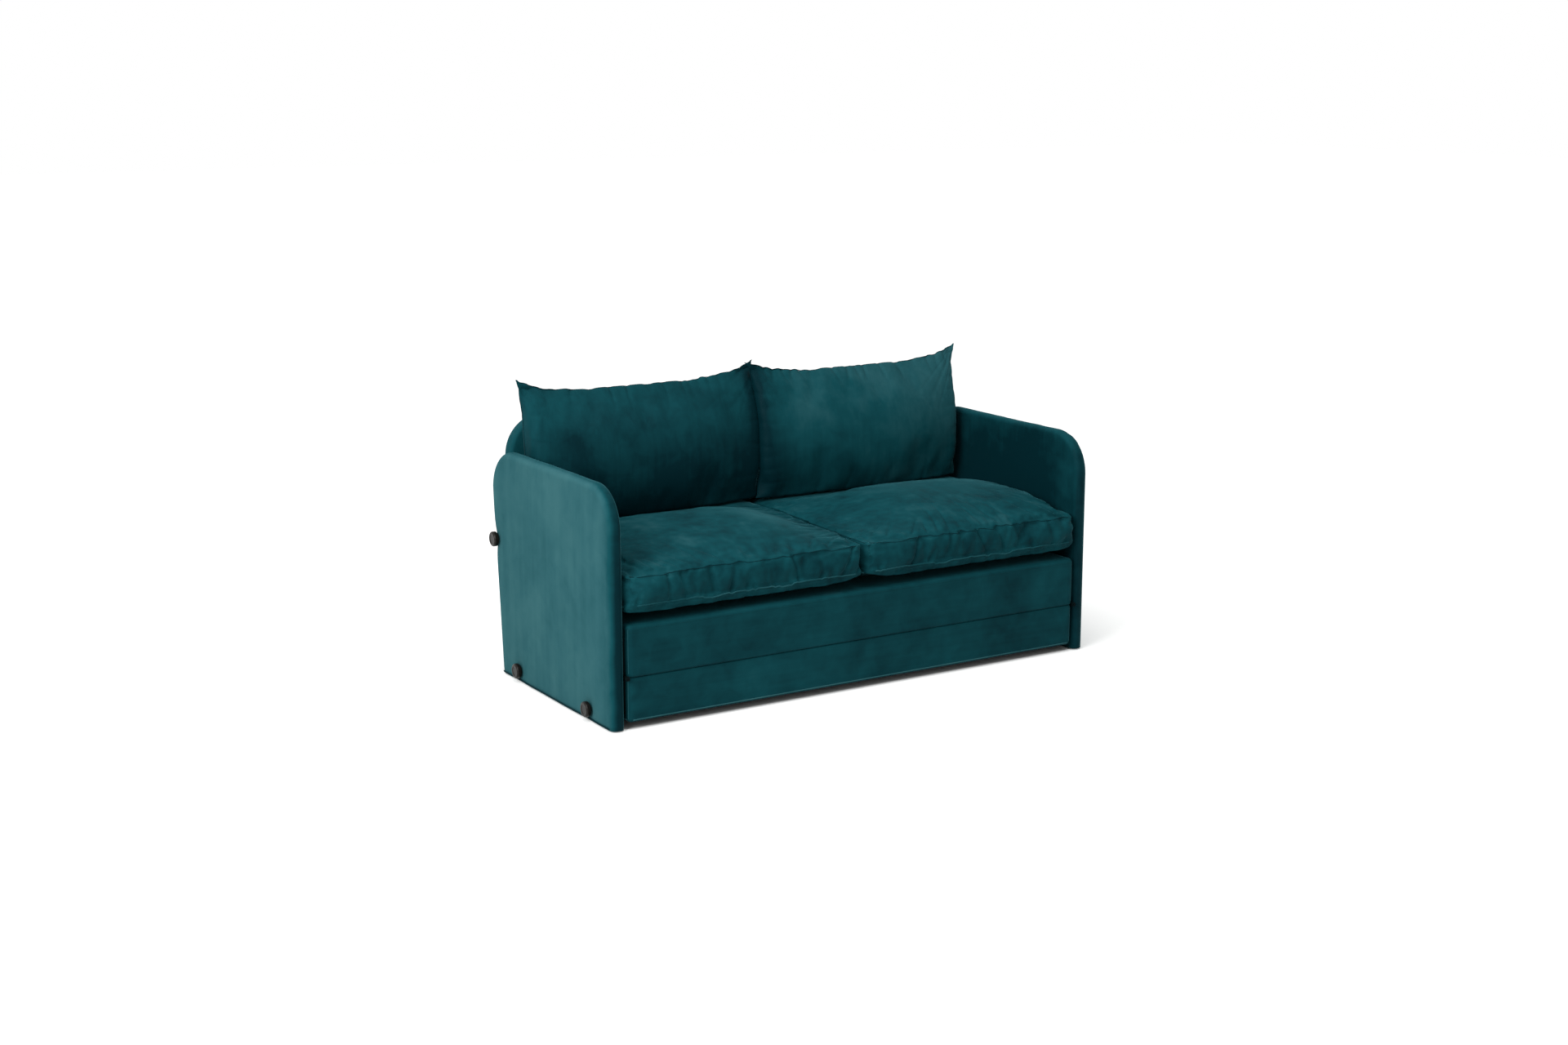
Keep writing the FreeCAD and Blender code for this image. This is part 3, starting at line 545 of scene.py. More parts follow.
# Painted light and shade of the arm velvet: outer faces and tops lighter, inner faces and fronts darker, a
# darker band by the outer face's front edge, and the inner face lighter by its front and top edges.
# ARM_BRUSHED is the pile's own random streaks.
ARM_LAY = 0.28
ARM_OUTER_LIGHT = 0.76
ARM_SHADED = 0.42
ARM_BRUSHED = 0.16
ARM_FRONT_EDGE_SHADE = 0.34
ARM_FRONT_SHADE = 0.24
ARM_TOP_LIGHT = 0.3
# Painted highlight and painted shadow: a light seam line on the right-hand edge and a dark line along the
# foot.
ARM_SEAM_HIGHLIGHT = (0.0009, 0.9)
ARM_FOOT_SHADOW = (0.003, -0.6)
CORNER_STEPS = 18


def shift(bm, made, move):
    """Moves the points among what a bmesh operation has made."""
    points = [item for item in made["geom"] if isinstance(item, bmesh.types.BMVert)]
    bmesh.ops.translate(bm, vec=move, verts=points)


def rounded_panel(bm, front, rear, rear_turn, bottom, top, corner, place):
    """Outline with two round top corners, drawn as one run of points and filled. place(a, b) sets a point."""
    start = bm.verts.new(place(front, bottom))

    def draw_to(vert, a, b):
        made = bmesh.ops.extrude_vert_indiv(bm, verts=[vert])["verts"][0]
        made.co = place(a, b)
        return made

    def turn(vert, a, b, angle):
        made = bmesh.ops.spin(
            bm, geom=[vert], cent=place(a, b), axis=panel_axis, dvec=(0, 0, 0),
            angle=angle, steps=CORNER_STEPS, use_merge=False,
        )
        return [item for item in made["geom_last"] if isinstance(item, bmesh.types.BMVert)][0]

    panel_axis = (place(1, 0) - place(0, 0)).cross(place(0, 1) - place(0, 0)).normalized()
    slope = math.tan(rear_turn)
    centre_high = top - corner
    rear_centre = rear + (centre_high - bottom) * slope - corner / math.cos(rear_turn)
    point = draw_to(start, front, centre_high)
    point = turn(point, front + corner, centre_high, -math.pi / 2)
    point = draw_to(point, rear_centre, top)
    point = turn(point, rear_centre, centre_high, rear_turn - math.pi / 2)
    point = draw_to(point, rear, bottom)
    bm.edges.new((point, start))
    bmesh.ops.remove_doubles(bm, verts=bm.verts, dist=1e-5)
    return bmesh.ops.contextual_create(bm, geom=bm.edges[:])["faces"][0]


def open_route(bm, foot_z):
    """Points round a panel's outline, from one foot to the other."""
    bm.faces.ensure_lookup_table()
    route = [loop.vert.co.copy() for loop in bm.faces[0].loops]
    bm.free()
    feet = [i for i, point in enumerate(route) if point.z < foot_z]
    first = len(route) - 1 if feet == [0, len(route) - 1] else max(feet)
    return route[first:] + route[:first]


def knob_places():
    """Middle of each knob on the left arm, as (y, z)."""
    found = []
    for place in KNOB_PLACES:
        low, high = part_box(f"knob_{place}_left")
        found.append(((low.y + high.y) / 2, (low.z + high.z) / 2))
    return found


def arm(side):
    low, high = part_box(f"arm_cover_{side}")
    sign = -1 if side == "left" else 1
    outer, inner = (low.x, high.x) if side == "left" else (high.x, low.x)
    centre_high = high.z - ARM_CORNER
    rear_foot = (
        high.y - ARM_CORNER + ARM_CORNER / math.cos(ARM_RAKE) - (centre_high - low.z) * math.tan(ARM_RAKE)
    )
    bm = bmesh.new()
    face = rounded_panel(
        bm, low.y, rear_foot, ARM_RAKE, low.z, high.z, ARM_CORNER, lambda a, b: Vector((outer, a, b))
    )
    shift(bm, bmesh.ops.extrude_face_region(bm, geom=[face]), (inner - outer, 0, 0))
    bmesh.ops.recalc_face_normals(bm, faces=bm.faces)
    for x, radius, steps in ((outer, ARM_OUTER_EDGE, 9), (inner, ARM_INNER_EDGE, 7)):
        foot = edges_at(bm, 2, low.z)
        rim = [edge for edge in edges_at(bm, 0, x) if edge not in foot]
        round_edges(bm, rim, radius, steps)
    cut_evenly(bm, 1, low.y, high.y, ARM_CUT)
    cut_evenly(bm, 2, low.z, high.z, ARM_CUT)
    knobs = knob_places()
    piece = new_piece(f"arm_{side}", bm, "frame", arm_velvet)

    def shape(points, normals):
        x, y, z = points
        facing = ease(normals[0] * sign)
        dent = sum(near(np.hypot(y - knob_y, z - knob_z), DIMPLE_REACH) for knob_y, knob_z in knobs)
        dent = np.minimum(1, dent)
        edge = ease((high.z - z) / 0.2) * ease((y - low.y) / 0.15)
        swell = ARM_PUFF * edge * (1 - dent) + ARM_RIPPLE * soft_noise(y * 7, z * 2.2, 3 + sign)
        pulls = ARM_PULL * near(high.z - z, 0.05) * crease(y * 14 + 3 * z, z * 5, 5 + sign)
        wave = soft_noise((y + z) * 11, (y - z) * 11, 7 + sign) * ease((z - low.z) / 0.05)
        edge_wave = ARM_EDGE_WAVE * (1 - np.abs(normals[0])) * wave
        return facing * (swell + pulls - DIMPLE_DEPTH * dent) + edge_wave

    move_along_normals(piece, shape)

    # Painted light and shade, as listed above; only the brushed streaks are the velvet's own tone.
    def light_and_lay(points, normals):
        x, y, z = points
        inside = ease(normals[0] * -sign)
        outside = ease(normals[0] * sign)
        inner_edge_light = 0.3 * near(y - low.y, 0.12) + 0.2 * near(high.z - z, 0.08)
        brushed = ARM_BRUSHED * soft_noise(y * 26, z * 2.5, 13 + sign)
        front_edge_shade = ARM_FRONT_EDGE_SHADE * near(y - low.y, 0.035)
        edges = ARM_TOP_LIGHT * np.maximum(0, normals[2]) - ARM_FRONT_SHADE * np.maximum(0, -normals[1])
        return ARM_LAY + (ARM_OUTER_LIGHT + brushed - front_edge_shade) * outside + (inner_edge_light - ARM_SHADED) * inside + edges

    paint_light_and_lay(piece, light_and_lay)
    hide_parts(f"arm_cover_{side}", f"arm_foam_{side}")
    bm = bmesh.new()
    inset = 0.3 * ARM_INNER_EDGE
    rounded_panel(
        bm, low.y + inset, rear_foot - inset, ARM_RAKE, low.z, high.z - inset, ARM_CORNER - inset,
        lambda a, b: Vector((high.x - inset, a, b)),
    )
    route = open_route(bm, low.z + 1e-6)
    # Painted highlight: the seam's light tone is the sheen along each arm's right-hand edge.
    sew_along(piece, f"arm_seam_highlight_{side}", route, *ARM_SEAM_HIGHLIGHT, "frame", welt_velvet)
    # Painted shadow: a near-black tube along the outer foot stands for the shade in the gap under the arm.
    hem_z = low.z + ARM_FOOT_SHADOW[0]
    route = [(outer, y, hem_z) for y in np.linspace(low.y + ARM_OUTER_EDGE, rear_foot - 0.01, 40)]
    sew_along(piece, f"arm_foot_shadow_{side}", route, *ARM_FOOT_SHADOW, "frame", welt_velvet)


arm_velvet = velvet("arm_velvet")
welt_velvet = velvet("welt_velvet")
for side in SIDES:
    arm(side)

# Back panel: a timber frame with elastic webbing and foam in one velvet cover. It leans back between the
# arms and is welted along its rear edge.
PANEL_THICK = 0.046
PANEL_EDGE = 0.009
PANEL_CUT = 0.02
PANEL_RIPPLE = 0.0012
PANEL_SINK = 0.001
PANEL_LAY = 0.4
PANEL_WELT = (0.0019, 0.6)
WAVE = "ShaderNodeTexWave"


def back_panel():
    low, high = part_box("back_cover")
    tall = (high.z - low.z - PANEL_THICK * math.sin(ARM_RAKE)) / math.cos(ARM_RAKE)
    foot = Vector((0, low.y + PANEL_THICK * math.cos(ARM_RAKE), low.z))
    stand = Matrix.Translation(foot) @ Matrix.Rotation(-ARM_RAKE, 4, "X")
    bm = bmesh.new()
    face = rounded_panel(
        bm, low.x, high.x, 0.0, 0.0, tall, ARM_CORNER, lambda a, b: Vector((a, 0, b))
    )
    shift(bm, bmesh.ops.extrude_face_region(bm, geom=[face]), (0, -PANEL_THICK, 0))
    bmesh.ops.recalc_face_normals(bm, faces=bm.faces)
    rims = [
        edge for edge in bm.edges
        if abs(edge.verts[0].co.y - edge.verts[1].co.y) < 1e-6
        and not all(vert.co.z < 1e-6 for vert in edge.verts)
    ]
    round_edges(bm, rims, PANEL_EDGE, 5)
    cut_evenly(bm, 0, low.x, high.x, PANEL_CUT)
    cut_evenly(bm, 2, 0.0, tall, PANEL_CUT)
    bmesh.ops.transform(bm, matrix=stand, verts=bm.verts)
    piece = new_piece("back_panel", bm, "frame", arm_velvet)

    def shape(points, normals):
        x, y, z = points
        middle = ease((high.z - z) / 0.1) * ease((high.x - np.abs(x)) / 0.1)
        return ease(normals[1]) * middle * (PANEL_RIPPLE * soft_noise(x * 4, z * 4, 9) - PANEL_SINK)

    move_along_normals(piece, shape)
    paint_light_and_lay(piece, lambda points, normals: PANEL_LAY)
    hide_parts("back_cover", "back_foam")
    bm = bmesh.new()
    inset = 0.3 * PANEL_EDGE
    rounded_panel(
        bm, low.x + inset, high.x - inset, 0.0, 0.0, tall - inset, ARM_CORNER - inset,
        lambda a, b: Vector((a, -inset, b)),
    )
    bmesh.ops.transform(bm, matrix=stand, verts=bm.verts)
    tube_along("back_welt", open_route(bm, low.z + 0.001), *PANEL_WELT, "frame", welt_velvet)


webbing_black = [(0.2, (0.02, 0.02, 0.022)), (0.8, (0.06, 0.06, 0.064))]
webbing = patterned(
    "elastic_webbing", WAVE, webbing_black, 0.85, (0.5, 0.0006), Scale=260.0, Distortion=0.6, Detail=1.0
)[0]
finish_nodes(webbing, "back_webbing")
back_panel()

# Seat hinge: each seat cushion hangs on a twisted cotton cord behind the fold-out section. Loops of woven
# tape hold the cord, and tabs of the same tape, sewn to the cushion, swing on it between them.
LOOPS_PER_SEAT = 7
LOOP_GAP = 0.002
TAPE = 0.0011
TAPE_PLAY = 0.0002
TAPE_TONGUE = 0.042
TAPE_WRAP = math.radians(335)
CORD_INNER = 0.002
CORD_STRANDS = 3
CORD_STRAND = 0.00135
CORD_LAY = 0.00112
CORD_PITCH = 0.013
CORD_STEPS = 9
hinge = next(joint for joint in frame["joints"] if joint["name"] == "seat_left_hinge")
hinge_y, hinge_z = hinge["pos_m"][1:]


def tape_piece(name, ranges, tongue_end, body, node):
    """Strips of tape that rise or hang beside the cord and wrap round it."""
    wrap_y = hinge_y - (CORD_LAY + CORD_STRAND + TAPE_PLAY + TAPE / 2)
    wrap = TAPE_WRAP if tongue_end > hinge_z else -TAPE_WRAP
    bm = bmesh.new()
    for x0, x1 in ranges:
        start = bm.verts.new((x0, wrap_y, tongue_end))
        last = bmesh.ops.extrude_vert_indiv(bm, verts=[start])["verts"][0]
        last.co = Vector((x0, wrap_y, hinge_z))
        bmesh.ops.spin(
            bm, geom=[last], cent=(x0, hinge_y, hinge_z), axis=(1, 0, 0), dvec=(0, 0, 0),
            angle=wrap, steps=18, use_merge=False,
        )
        shift(bm, bmesh.ops.extrude_edge_only(bm, edges=edges_at(bm, 0, x0)), (x1 - x0, 0, 0))
    bmesh.ops.remove_doubles(bm, verts=bm.verts, dist=1e-6)
    bmesh.ops.recalc_face_normals(bm, faces=bm.faces)
    piece = new_piece(name, bm, body, woven_tape)
    thicken(piece, TAPE)
    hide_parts(node)


def copy_along(bm, x):
    """Repeats the whole mesh once, further along the sofa."""
    everything = bm.verts[:] + bm.edges[:] + bm.faces[:]
    shift(bm, bmesh.ops.duplicate(bm, geom=everything), (x, 0, 0))


def twisted_cords(bm, x0, x1):
    """One turn of three strands, repeated to a cord's length, and the same again for the other seat."""
    for strand in range(CORD_STRANDS):
        angle = strand * 2 * math.pi / CORD_STRANDS
        centre = Vector((x0, hinge_y + CORD_LAY * math.cos(angle), hinge_z + CORD_LAY * math.sin(angle)))
        spot = Matrix.Translation(centre) @ Matrix.Rotation(math.radians(90), 4, "Y")
        ring = bmesh.ops.create_circle(bm, cap_ends=False, segments=7, radius=CORD_STRAND, matrix=spot)
        edges = list({edge for vert in ring["verts"] for edge in vert.link_edges})
        bmesh.ops.spin(
            bm, geom=edges, cent=(x0, hinge_y, hinge_z), axis=(1, 0, 0), dvec=(CORD_PITCH / CORD_STEPS, 0, 0),
            angle=2 * math.pi, steps=CORD_STEPS, use_merge=False,
        )
    length = CORD_PITCH
    while length < x1 - x0:
        copy_along(bm, length)
        length *= 2
    bmesh.ops.remove_doubles(bm, verts=bm.verts, dist=1e-5)
    everything = bm.verts[:] + bm.edges[:] + bm.faces[:]
    bmesh.ops.bisect_plane(bm, geom=everything, plane_co=(x1, 0, 0), plane_no=(1, 0, 0), clear_outer=True)
    copy_along(bm, -x0 - x1)
    bmesh.ops.holes_fill(bm, edges=[edge for edge in bm.edges if edge.is_boundary], sides=0)
    bmesh.ops.recalc_face_normals(bm, faces=bm.faces)


def mirrored(ranges):
    return [(-b, -a) for a, b in ranges]


tape_teal = [(0.2, (0.004, 0.03, 0.036)), (0.8, (0.012, 0.062, 0.072))]
woven_tape = patterned(
    "woven_tape", WAVE, tape_teal, 0.8, (0.5, 0.0005),
    Scale=420.0, Distortion=0.5, Detail=1.0, bands_direction="DIAGONAL",
)[0]
raw_cotton = [(0.3, (0.42, 0.39, 0.33)), (0.7, (0.6, 0.57, 0.5))]
cotton_cord = patterned("cotton_cord", NOISE, raw_cotton, 0.9, (0.4, 0.0004), Scale=900.0, Detail=3.0)[0]
cord_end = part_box("seat_hinge_cords")[1].x
loop_ranges = []
tab_ranges = []
pitch = (cord_end - CORD_INNER) / LOOPS_PER_SEAT
for i in range(LOOPS_PER_SEAT):
    span = (CORD_INNER + i * pitch + LOOP_GAP / 2, CORD_INNER + (i + 1) * pitch - LOOP_GAP / 2)
    (loop_ranges if i % 2 == 0 else tab_ranges).append(span)
both_loops = loop_ranges + mirrored(loop_ranges)
tape_piece("hinge_loops", both_loops, hinge_z - TAPE_TONGUE, "fold_out", "fold_hinge_loops")
tab_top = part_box("seat_hinge_tabs_left")[1].z
for side, ranges in zip(SIDES, (mirrored(tab_ranges), tab_ranges)):
    tape_piece(f"hinge_tabs_{side}", ranges, tab_top, f"seat_{side}", f"seat_hinge_tabs_{side}")
bm = bmesh.new()
twisted_cords(bm, CORD_INNER, cord_end)
cords = new_piece("hinge_cords", bm, "fold_out", cotton_cord)
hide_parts("seat_hinge_cords")

# Seat cushions: boxed foam in velvet covers. The top and bottom panels are sewn to a boxing strip, whose
# two seams pull short puckers into the velvet, and the tops crown well above the seams.
SEAT_VOXEL = 0.008
SEAT_PRESSURE = 4.0
SEAT_SLACK = 0.03
SEAT_CAP = 0.012
SEAT_SHRINK = 0.008
SEAT_BOTTOM_SEAM = 0.0465
SEAT_TOP_SEAM = 0.4262
SEAT_SEAM_RISE = 0.017
SEAT_SEAM_HALF = 0.006
SEAT_REAR = 0.13
SEAT_CROWN = 0.012
SEAT_CROWN_FALL = 0.03
SEAT_INNER_CORNER = 0.042
SEAT_OUTER_CORNER = 0.022
SEAT_END_ROUND = 0.046
SEAT_END_DEPTH = 0.25
SEAT_END_BULGE = 0.012
SEAT_FOLD = 0.006
SEAT_FRONT_FOLD = 0.0065
SEAT_END_FOLD = 0.005
SEAT_RIPPLE = 0.003
SEAM_PINCH = 0.0035
SEAT_LAY = 0.28
# Painted light: the seat tops are lighter where they face up.
SEAT_TOP_LIGHT = 0.14
SEAT_THREAD = (0.0009, -0.2)
# The bottom welt is sewn; its light tone is a painted highlight along it.
SEAT_WELT_HIGHLIGHT = (0.0021, 0.66)
SEAT_LINE_STOP = 0.14
SEAT_LINE_CORNER = 0.035


def smooth(piece, factor, iterations, group=""):
    """Evens out a piece's mesh, or the part of it in a vertex group."""
    even = piece.modifiers.new("smooth", "SMOOTH")
    even.factor = factor
    even.iterations = iterations
    even.vertex_group = group
    apply_modifiers(piece)


def remeshed_copy(name, node, voxel):
    """Even mesh of a CAD node's solid, ready for cloth."""
    bm = bmesh.new()
    bm.from_mesh(frame["nodes"][node].data)
    bmesh.ops.remove_doubles(bm, verts=bm.verts, dist=1e-5)
    piece = placed(name, mesh_from(name, bm))
    remesh = piece.modifiers.new("even_mesh", "REMESH")
    remesh.mode = "VOXEL"
    remesh.voxel_size = voxel
    smooth(piece, 0.5, 3)
    return piece


def apply_modifiers(piece):
    """Bakes a piece's modifiers into its mesh."""
    seen = piece.evaluated_get(bpy.context.evaluated_depsgraph_get())
    data = bpy.data.meshes.new_from_object(seen)
    piece.modifiers.clear()
    old = piece.data
    piece.data = data
    bpy.data.meshes.remove(old)


def fill_with_air(piece, held, shrink, pressure, slack, cap):
    """Draws a cover in, then blows it up as cloth held along its seams, and caps how far a point may move."""
    start, normals = surface_of(piece)
    start = start - normals * shrink * ~held
    set_points(piece, start)
    group = piece.vertex_groups.new(name="seams")
    group.add([int(i) for i in np.nonzero(held)[0]], 1.0, "REPLACE")
    cloth = piece.modifiers.new("cover", "CLOTH")
    settings = cloth.settings
    settings.quality = 6
    settings.tension_stiffness = 12
    settings.compression_stiffness = 12
    settings.shear_stiffness = 4
    settings.bending_stiffness = 0.5
    settings.vertex_group_mass = "seams"
    settings.shrink_min = -slack
    settings.use_pressure = True
    settings.uniform_pressure_force = pressure
    settings.effector_weights.gravity = 0
    scene = bpy.context.scene
    for step in range(1, 21):
        scene.frame_set(step)
    apply_modifiers(piece)
    scene.frame_set(1)
    piece.vertex_groups.clear()
    moved = surface_of(piece)[0] - start
    length = np.linalg.norm(moved, axis=0)
    set_points(piece, start + moved * np.minimum(1, cap / np.maximum(length, 1e-9)))


def subdivide_once(piece):
    finer = piece.modifiers.new("finer", "SUBSURF")
    finer.levels = 1
    finer.render_levels = 1
    apply_modifiers(piece)


def seat_seam_lines(piece, side, bottom_seam, top_seam):
    """Thread of the top seam and welt of the bottom seam, laid on the finished cushion's three open sides."""
    low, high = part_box(f"seat_cushion_cover_{side}")
    depth = np.linspace(high.y - SEAT_LINE_STOP, low.y + SEAT_LINE_CORNER, 60)
    width = np.linspace(low.x + SEAT_LINE_CORNER, high.x - SEAT_LINE_CORNER, 110)
    route = [(low.x, y) for y in depth]
    route += [(x, low.y) for x in width]
    route += [(high.x, y) for y in depth[::-1]]
    for name, height, welt in (
        ("seat_top_seam", top_seam, SEAT_THREAD),
        ("seat_bottom_welt", lambda y: bottom_seam, SEAT_WELT_HIGHLIGHT),
    ):
        points = [(x, y, height(y)) for x, y in route]
        sew_along(piece, f"{name}_{side}", points, *welt, f"seat_{side}", welt_velvet)


def draw_in(points, axes, centres, radius, beyond, amount=1):
    """Draws the points beyond a round edge in to its radius, seen along the third axis."""
    a, b = axes
    from_a = points[a] - centres[0]
    from_b = points[b] - centres[1]
    apart = np.maximum(np.hypot(from_a, from_b), 1e-6)
    scale = np.where(beyond, np.minimum(1, radius / apart), 1)
    scale = 1 + (scale - 1) * amount
    points[a] = centres[0] + from_a * scale
    points[b] = centres[1] + from_b * scale


def seat_cushion(side, seed):
    node = f"seat_cushion_core_{side}"
    low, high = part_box(node)
    cover_low, cover_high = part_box(f"seat_cushion_cover_{side}")
    piece = remeshed_copy(f"seat_cushion_{side}", node, SEAT_VOXEL)
    bottom_seam = low.z + SEAT_BOTTOM_SEAM

    def top_seam(y):
        return SEAT_TOP_SEAM + SEAT_SEAM_RISE * ease((y - low.y) / (high.y - low.y))

    x, y, z = surface_of(piece)[0]
    end_gap = np.minimum(x - low.x, high.x - x)
    near_edge = np.minimum(end_gap, np.minimum(y - low.y, high.y - y)) < 0.02
    end_drop = 0.008 * np.clip(1 - end_gap / 0.03, 0, 1)
    held = near_edge & (np.abs(z - (top_seam(y) - end_drop)) < SEAT_SEAM_HALF)
    held |= near_edge & (np.abs(z - bottom_seam) < SEAT_SEAM_HALF)
    held |= z < low.z + 0.012
    held |= y > high.y - SEAT_REAR
    fill_with_air(piece, held, SEAT_SHRINK, SEAT_PRESSURE, SEAT_SLACK, SEAT_CAP)
    subdivide_once(piece)

    # The crown, the round corners, the full outer end and the hollow under the front edge.
    inward = 1 if side == "left" else -1
    outer_x = cover_low.x if side == "left" else cover_high.x
    points = surface_of(piece)[0]
    x, y, z = points
    from_front = y - cover_low.y
    side_gap = np.minimum(x - cover_low.x, cover_high.x - x)
    to_inner = inward * (x - (low.x + high.x) / 2) / (high.x - low.x) + 0.5
    crowned = ease((z - top_seam(y)) / 0.03) * ease((high.y - SEAT_REAR - y) / 0.04) * ease(from_front / 0.15)
    points[2] += crowned * (SEAT_CROWN - SEAT_CROWN_FALL * ease((to_inner - 0.62) / 0.38))
    for corner_x, turn in ((cover_low.x, 1), (cover_high.x, -1)):
        radius = SEAT_OUTER_CORNER if turn == inward else SEAT_INNER_CORNER
        centre = (corner_x + turn * radius, cover_low.y + radius)
        beyond = ((points[0] - centre[0]) * turn < 0) & (points[1] < centre[1])
        draw_in(points, (0, 1), centre, radius, beyond)
    centre = (outer_x + inward * SEAT_END_ROUND, top_seam(points[1]) - 0.03)
    beyond = ((points[0] - centre[0]) * inward < 0) & (points[2] > centre[1])
    beyond &= from_front < SEAT_END_DEPTH
    draw_in(points, (0, 2), centre, SEAT_END_ROUND, beyond, ease((SEAT_END_DEPTH - from_front) / 0.12))
    risen = np.clip((points[2] - bottom_seam) / (top_seam(points[1]) - bottom_seam), 0, 1)
    bulge = np.sin(math.pi * risen) * ease((0.07 - from_front) / 0.06)
    points[1] -= SEAT_END_BULGE * bulge * near(points[0] - outer_x, 0.1)
    under = bottom_seam - 0.02 * ease(from_front / 0.018) - 0.027 * ease((from_front - 0.05) / 0.12)
    lift = 0.006 + 0.01 * ease(to_inner / 0.5 - 0.5)
    under += lift * near(side_gap, 0.06) * ease((0.22 - from_front) / 0.1)
    points[2] = np.where(from_front < 0.2, np.maximum(points[2], under), points[2])
    set_points(piece, points)

    def folds(points, normals):
        x, y, z = points
        from_front = y - cover_low.y
        side_gap = np.minimum(x - cover_low.x, cover_high.x - x)
        seam = top_seam(y)
        boxing = ease((z - bottom_seam) / 0.012) * ease((seam - z) / 0.01)
        top = ease((z - seam) / 0.01)
        front = ease((0.05 - from_front) / 0.03)
        ends = ease((0.03 - side_gap) / 0.03)
        slant = 5 * (z - bottom_seam) * np.sin(x * 9 + seed)
        skew = 12 * from_front * np.sin(x * 6 + seed)
        push = front * boxing * SEAT_FRONT_FOLD * crease(x * 16 + slant, z * 4, seed)
        push += ends * boxing * SEAT_END_FOLD * crease(y * 15, z * 4, seed + 1)
        push += top * near(from_front, 0.12) * SEAT_FOLD * crease(x * 14 + skew, from_front * 4, seed + 2)
        push += top * near(side_gap, 0.09) * SEAT_FOLD * crease(y * 15, side_gap * 5, seed + 3)
        push += top * SEAT_RIPPLE * soft_noise(x * 5, y * 5, seed + 4)
        pinch = near(z - seam, 0.005) + near(z - bottom_seam, 0.005)
        return push - np.maximum(front, ends) * SEAM_PINCH * pinch

    move_along_normals(piece, folds)
    points = surface_of(piece)[0]
    points[0] = np.clip(points[0], cover_low.x, cover_high.x)
    points[2] = np.maximum(points[2], cover_low.z)
    set_points(piece, points)
    dress(piece, f"seat_{side}", seat_velvet)

    # Painted light: tops are lighter where they face up. The brushed tones are the pile's own.
    def light_and_lay(points, normals):
        x, y, z = points
        brushed = 0.17 * soft_noise(x * 15, (y + z) * 15, seed + 5)
        brushed += 0.12 * soft_noise(x * 44, (y + z) * 44, seed + 6)
        return SEAT_LAY + SEAT_TOP_LIGHT * ease(normals[2]) + brushed

    paint_light_and_lay(piece, light_and_lay)
    seat_seam_lines(piece, side, bottom_seam, top_seam)
    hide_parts(f"seat_cushion_cover_{side}", node)


seat_velvet = velvet("seat_velvet", turn=(math.radians(90), 0.0, 0.0))
seat_cushion("left", 11)
seat_cushion("right", 23)

# Back cushions: loose, fibre-filled, with one knife-edge seam all round that is drawn in between pointed
# corners. They stand on the seat cushions and lean on the back panel.
PILLOW_VOXEL = 0.007
PILLOW_PRESSURE = 3.0
PILLOW_SLACK = 0.03
PILLOW_CAP = 0.016
PILLOW_SHRINK = 0.008
# Painted light and shade of each back cushion: darker low down, lighter high up, graded across its width.
PILLOW_LIGHT_AND_SHADE = {"left": (0.02, 0.31, -0.04), "right": (0.42, 0.66, 0.12)}
INNER_REACH = {"left": (0.047, 0.034), "right": (0.018, 0.04)}
INNER_STEP = 0.015
EAR_OUT = 0.017
EAR_UP = 0.005
EDGE_FILL = 0.8
PILLOW_THREAD = (0.0012, -0.1)
PILLOW_CREST = 0.827
PILLOW_EAR_RISE = 0.04
PILLOW_REAR_LEAN = 0.084
PILLOW_RELAX = 24
INNER_EAR_KEPT = {"left": 0.7, "right": 0.15}
JOINT_SHADE = {"left": 0.0, "right": 0.3}
PILLOW_TOP_FOLD = 0.0045
PILLOW_SIDE_FOLD = 0.002
PILLOW_EAR_FOLD = 0.003
PILLOW_RIPPLE = 0.0025
SEAM_FOOT = 0.04
SEAM_SHOULDER = 0.05


def knife_edge_seam(piece, side):
    """Thread of the one seam, laid along the outermost points of a finished cushion's sides and top."""
    points = surface_of(piece)[0].T
    first = points.min(axis=0)
    last = points.max(axis=0)

    def outermost(axis, measured, sign, start, stop, count):
        found = []
        steps = np.linspace(start, stop, count + 1)
        for a, b in zip(steps[:-1], steps[1:]):
            inside = points[(points[:, axis] >= min(a, b)) & (points[:, axis] < max(a, b))]
            found.append(inside[np.argmax(sign * inside[:, measured])])
        return found

    foot = first[2] + SEAM_FOOT
    shoulder = last[2] - SEAM_SHOULDER
    route = outermost(2, 0, -1, foot, shoulder, 30)
    route += outermost(0, 2, 1, first[0] + 0.004, last[0] - 0.004, 90)
    route += outermost(2, 0, 1, shoulder, foot, 30)
    route = np.array(route)
    for turn in range(2):
        route[1:-1] = (route[:-2] + 2 * route[1:-1] + route[2:]) / 4
    body = f"back_cushion_{side}"
    return sew_along(piece, f"back_cushion_seam_{side}", route, *PILLOW_THREAD, body, welt_velvet)


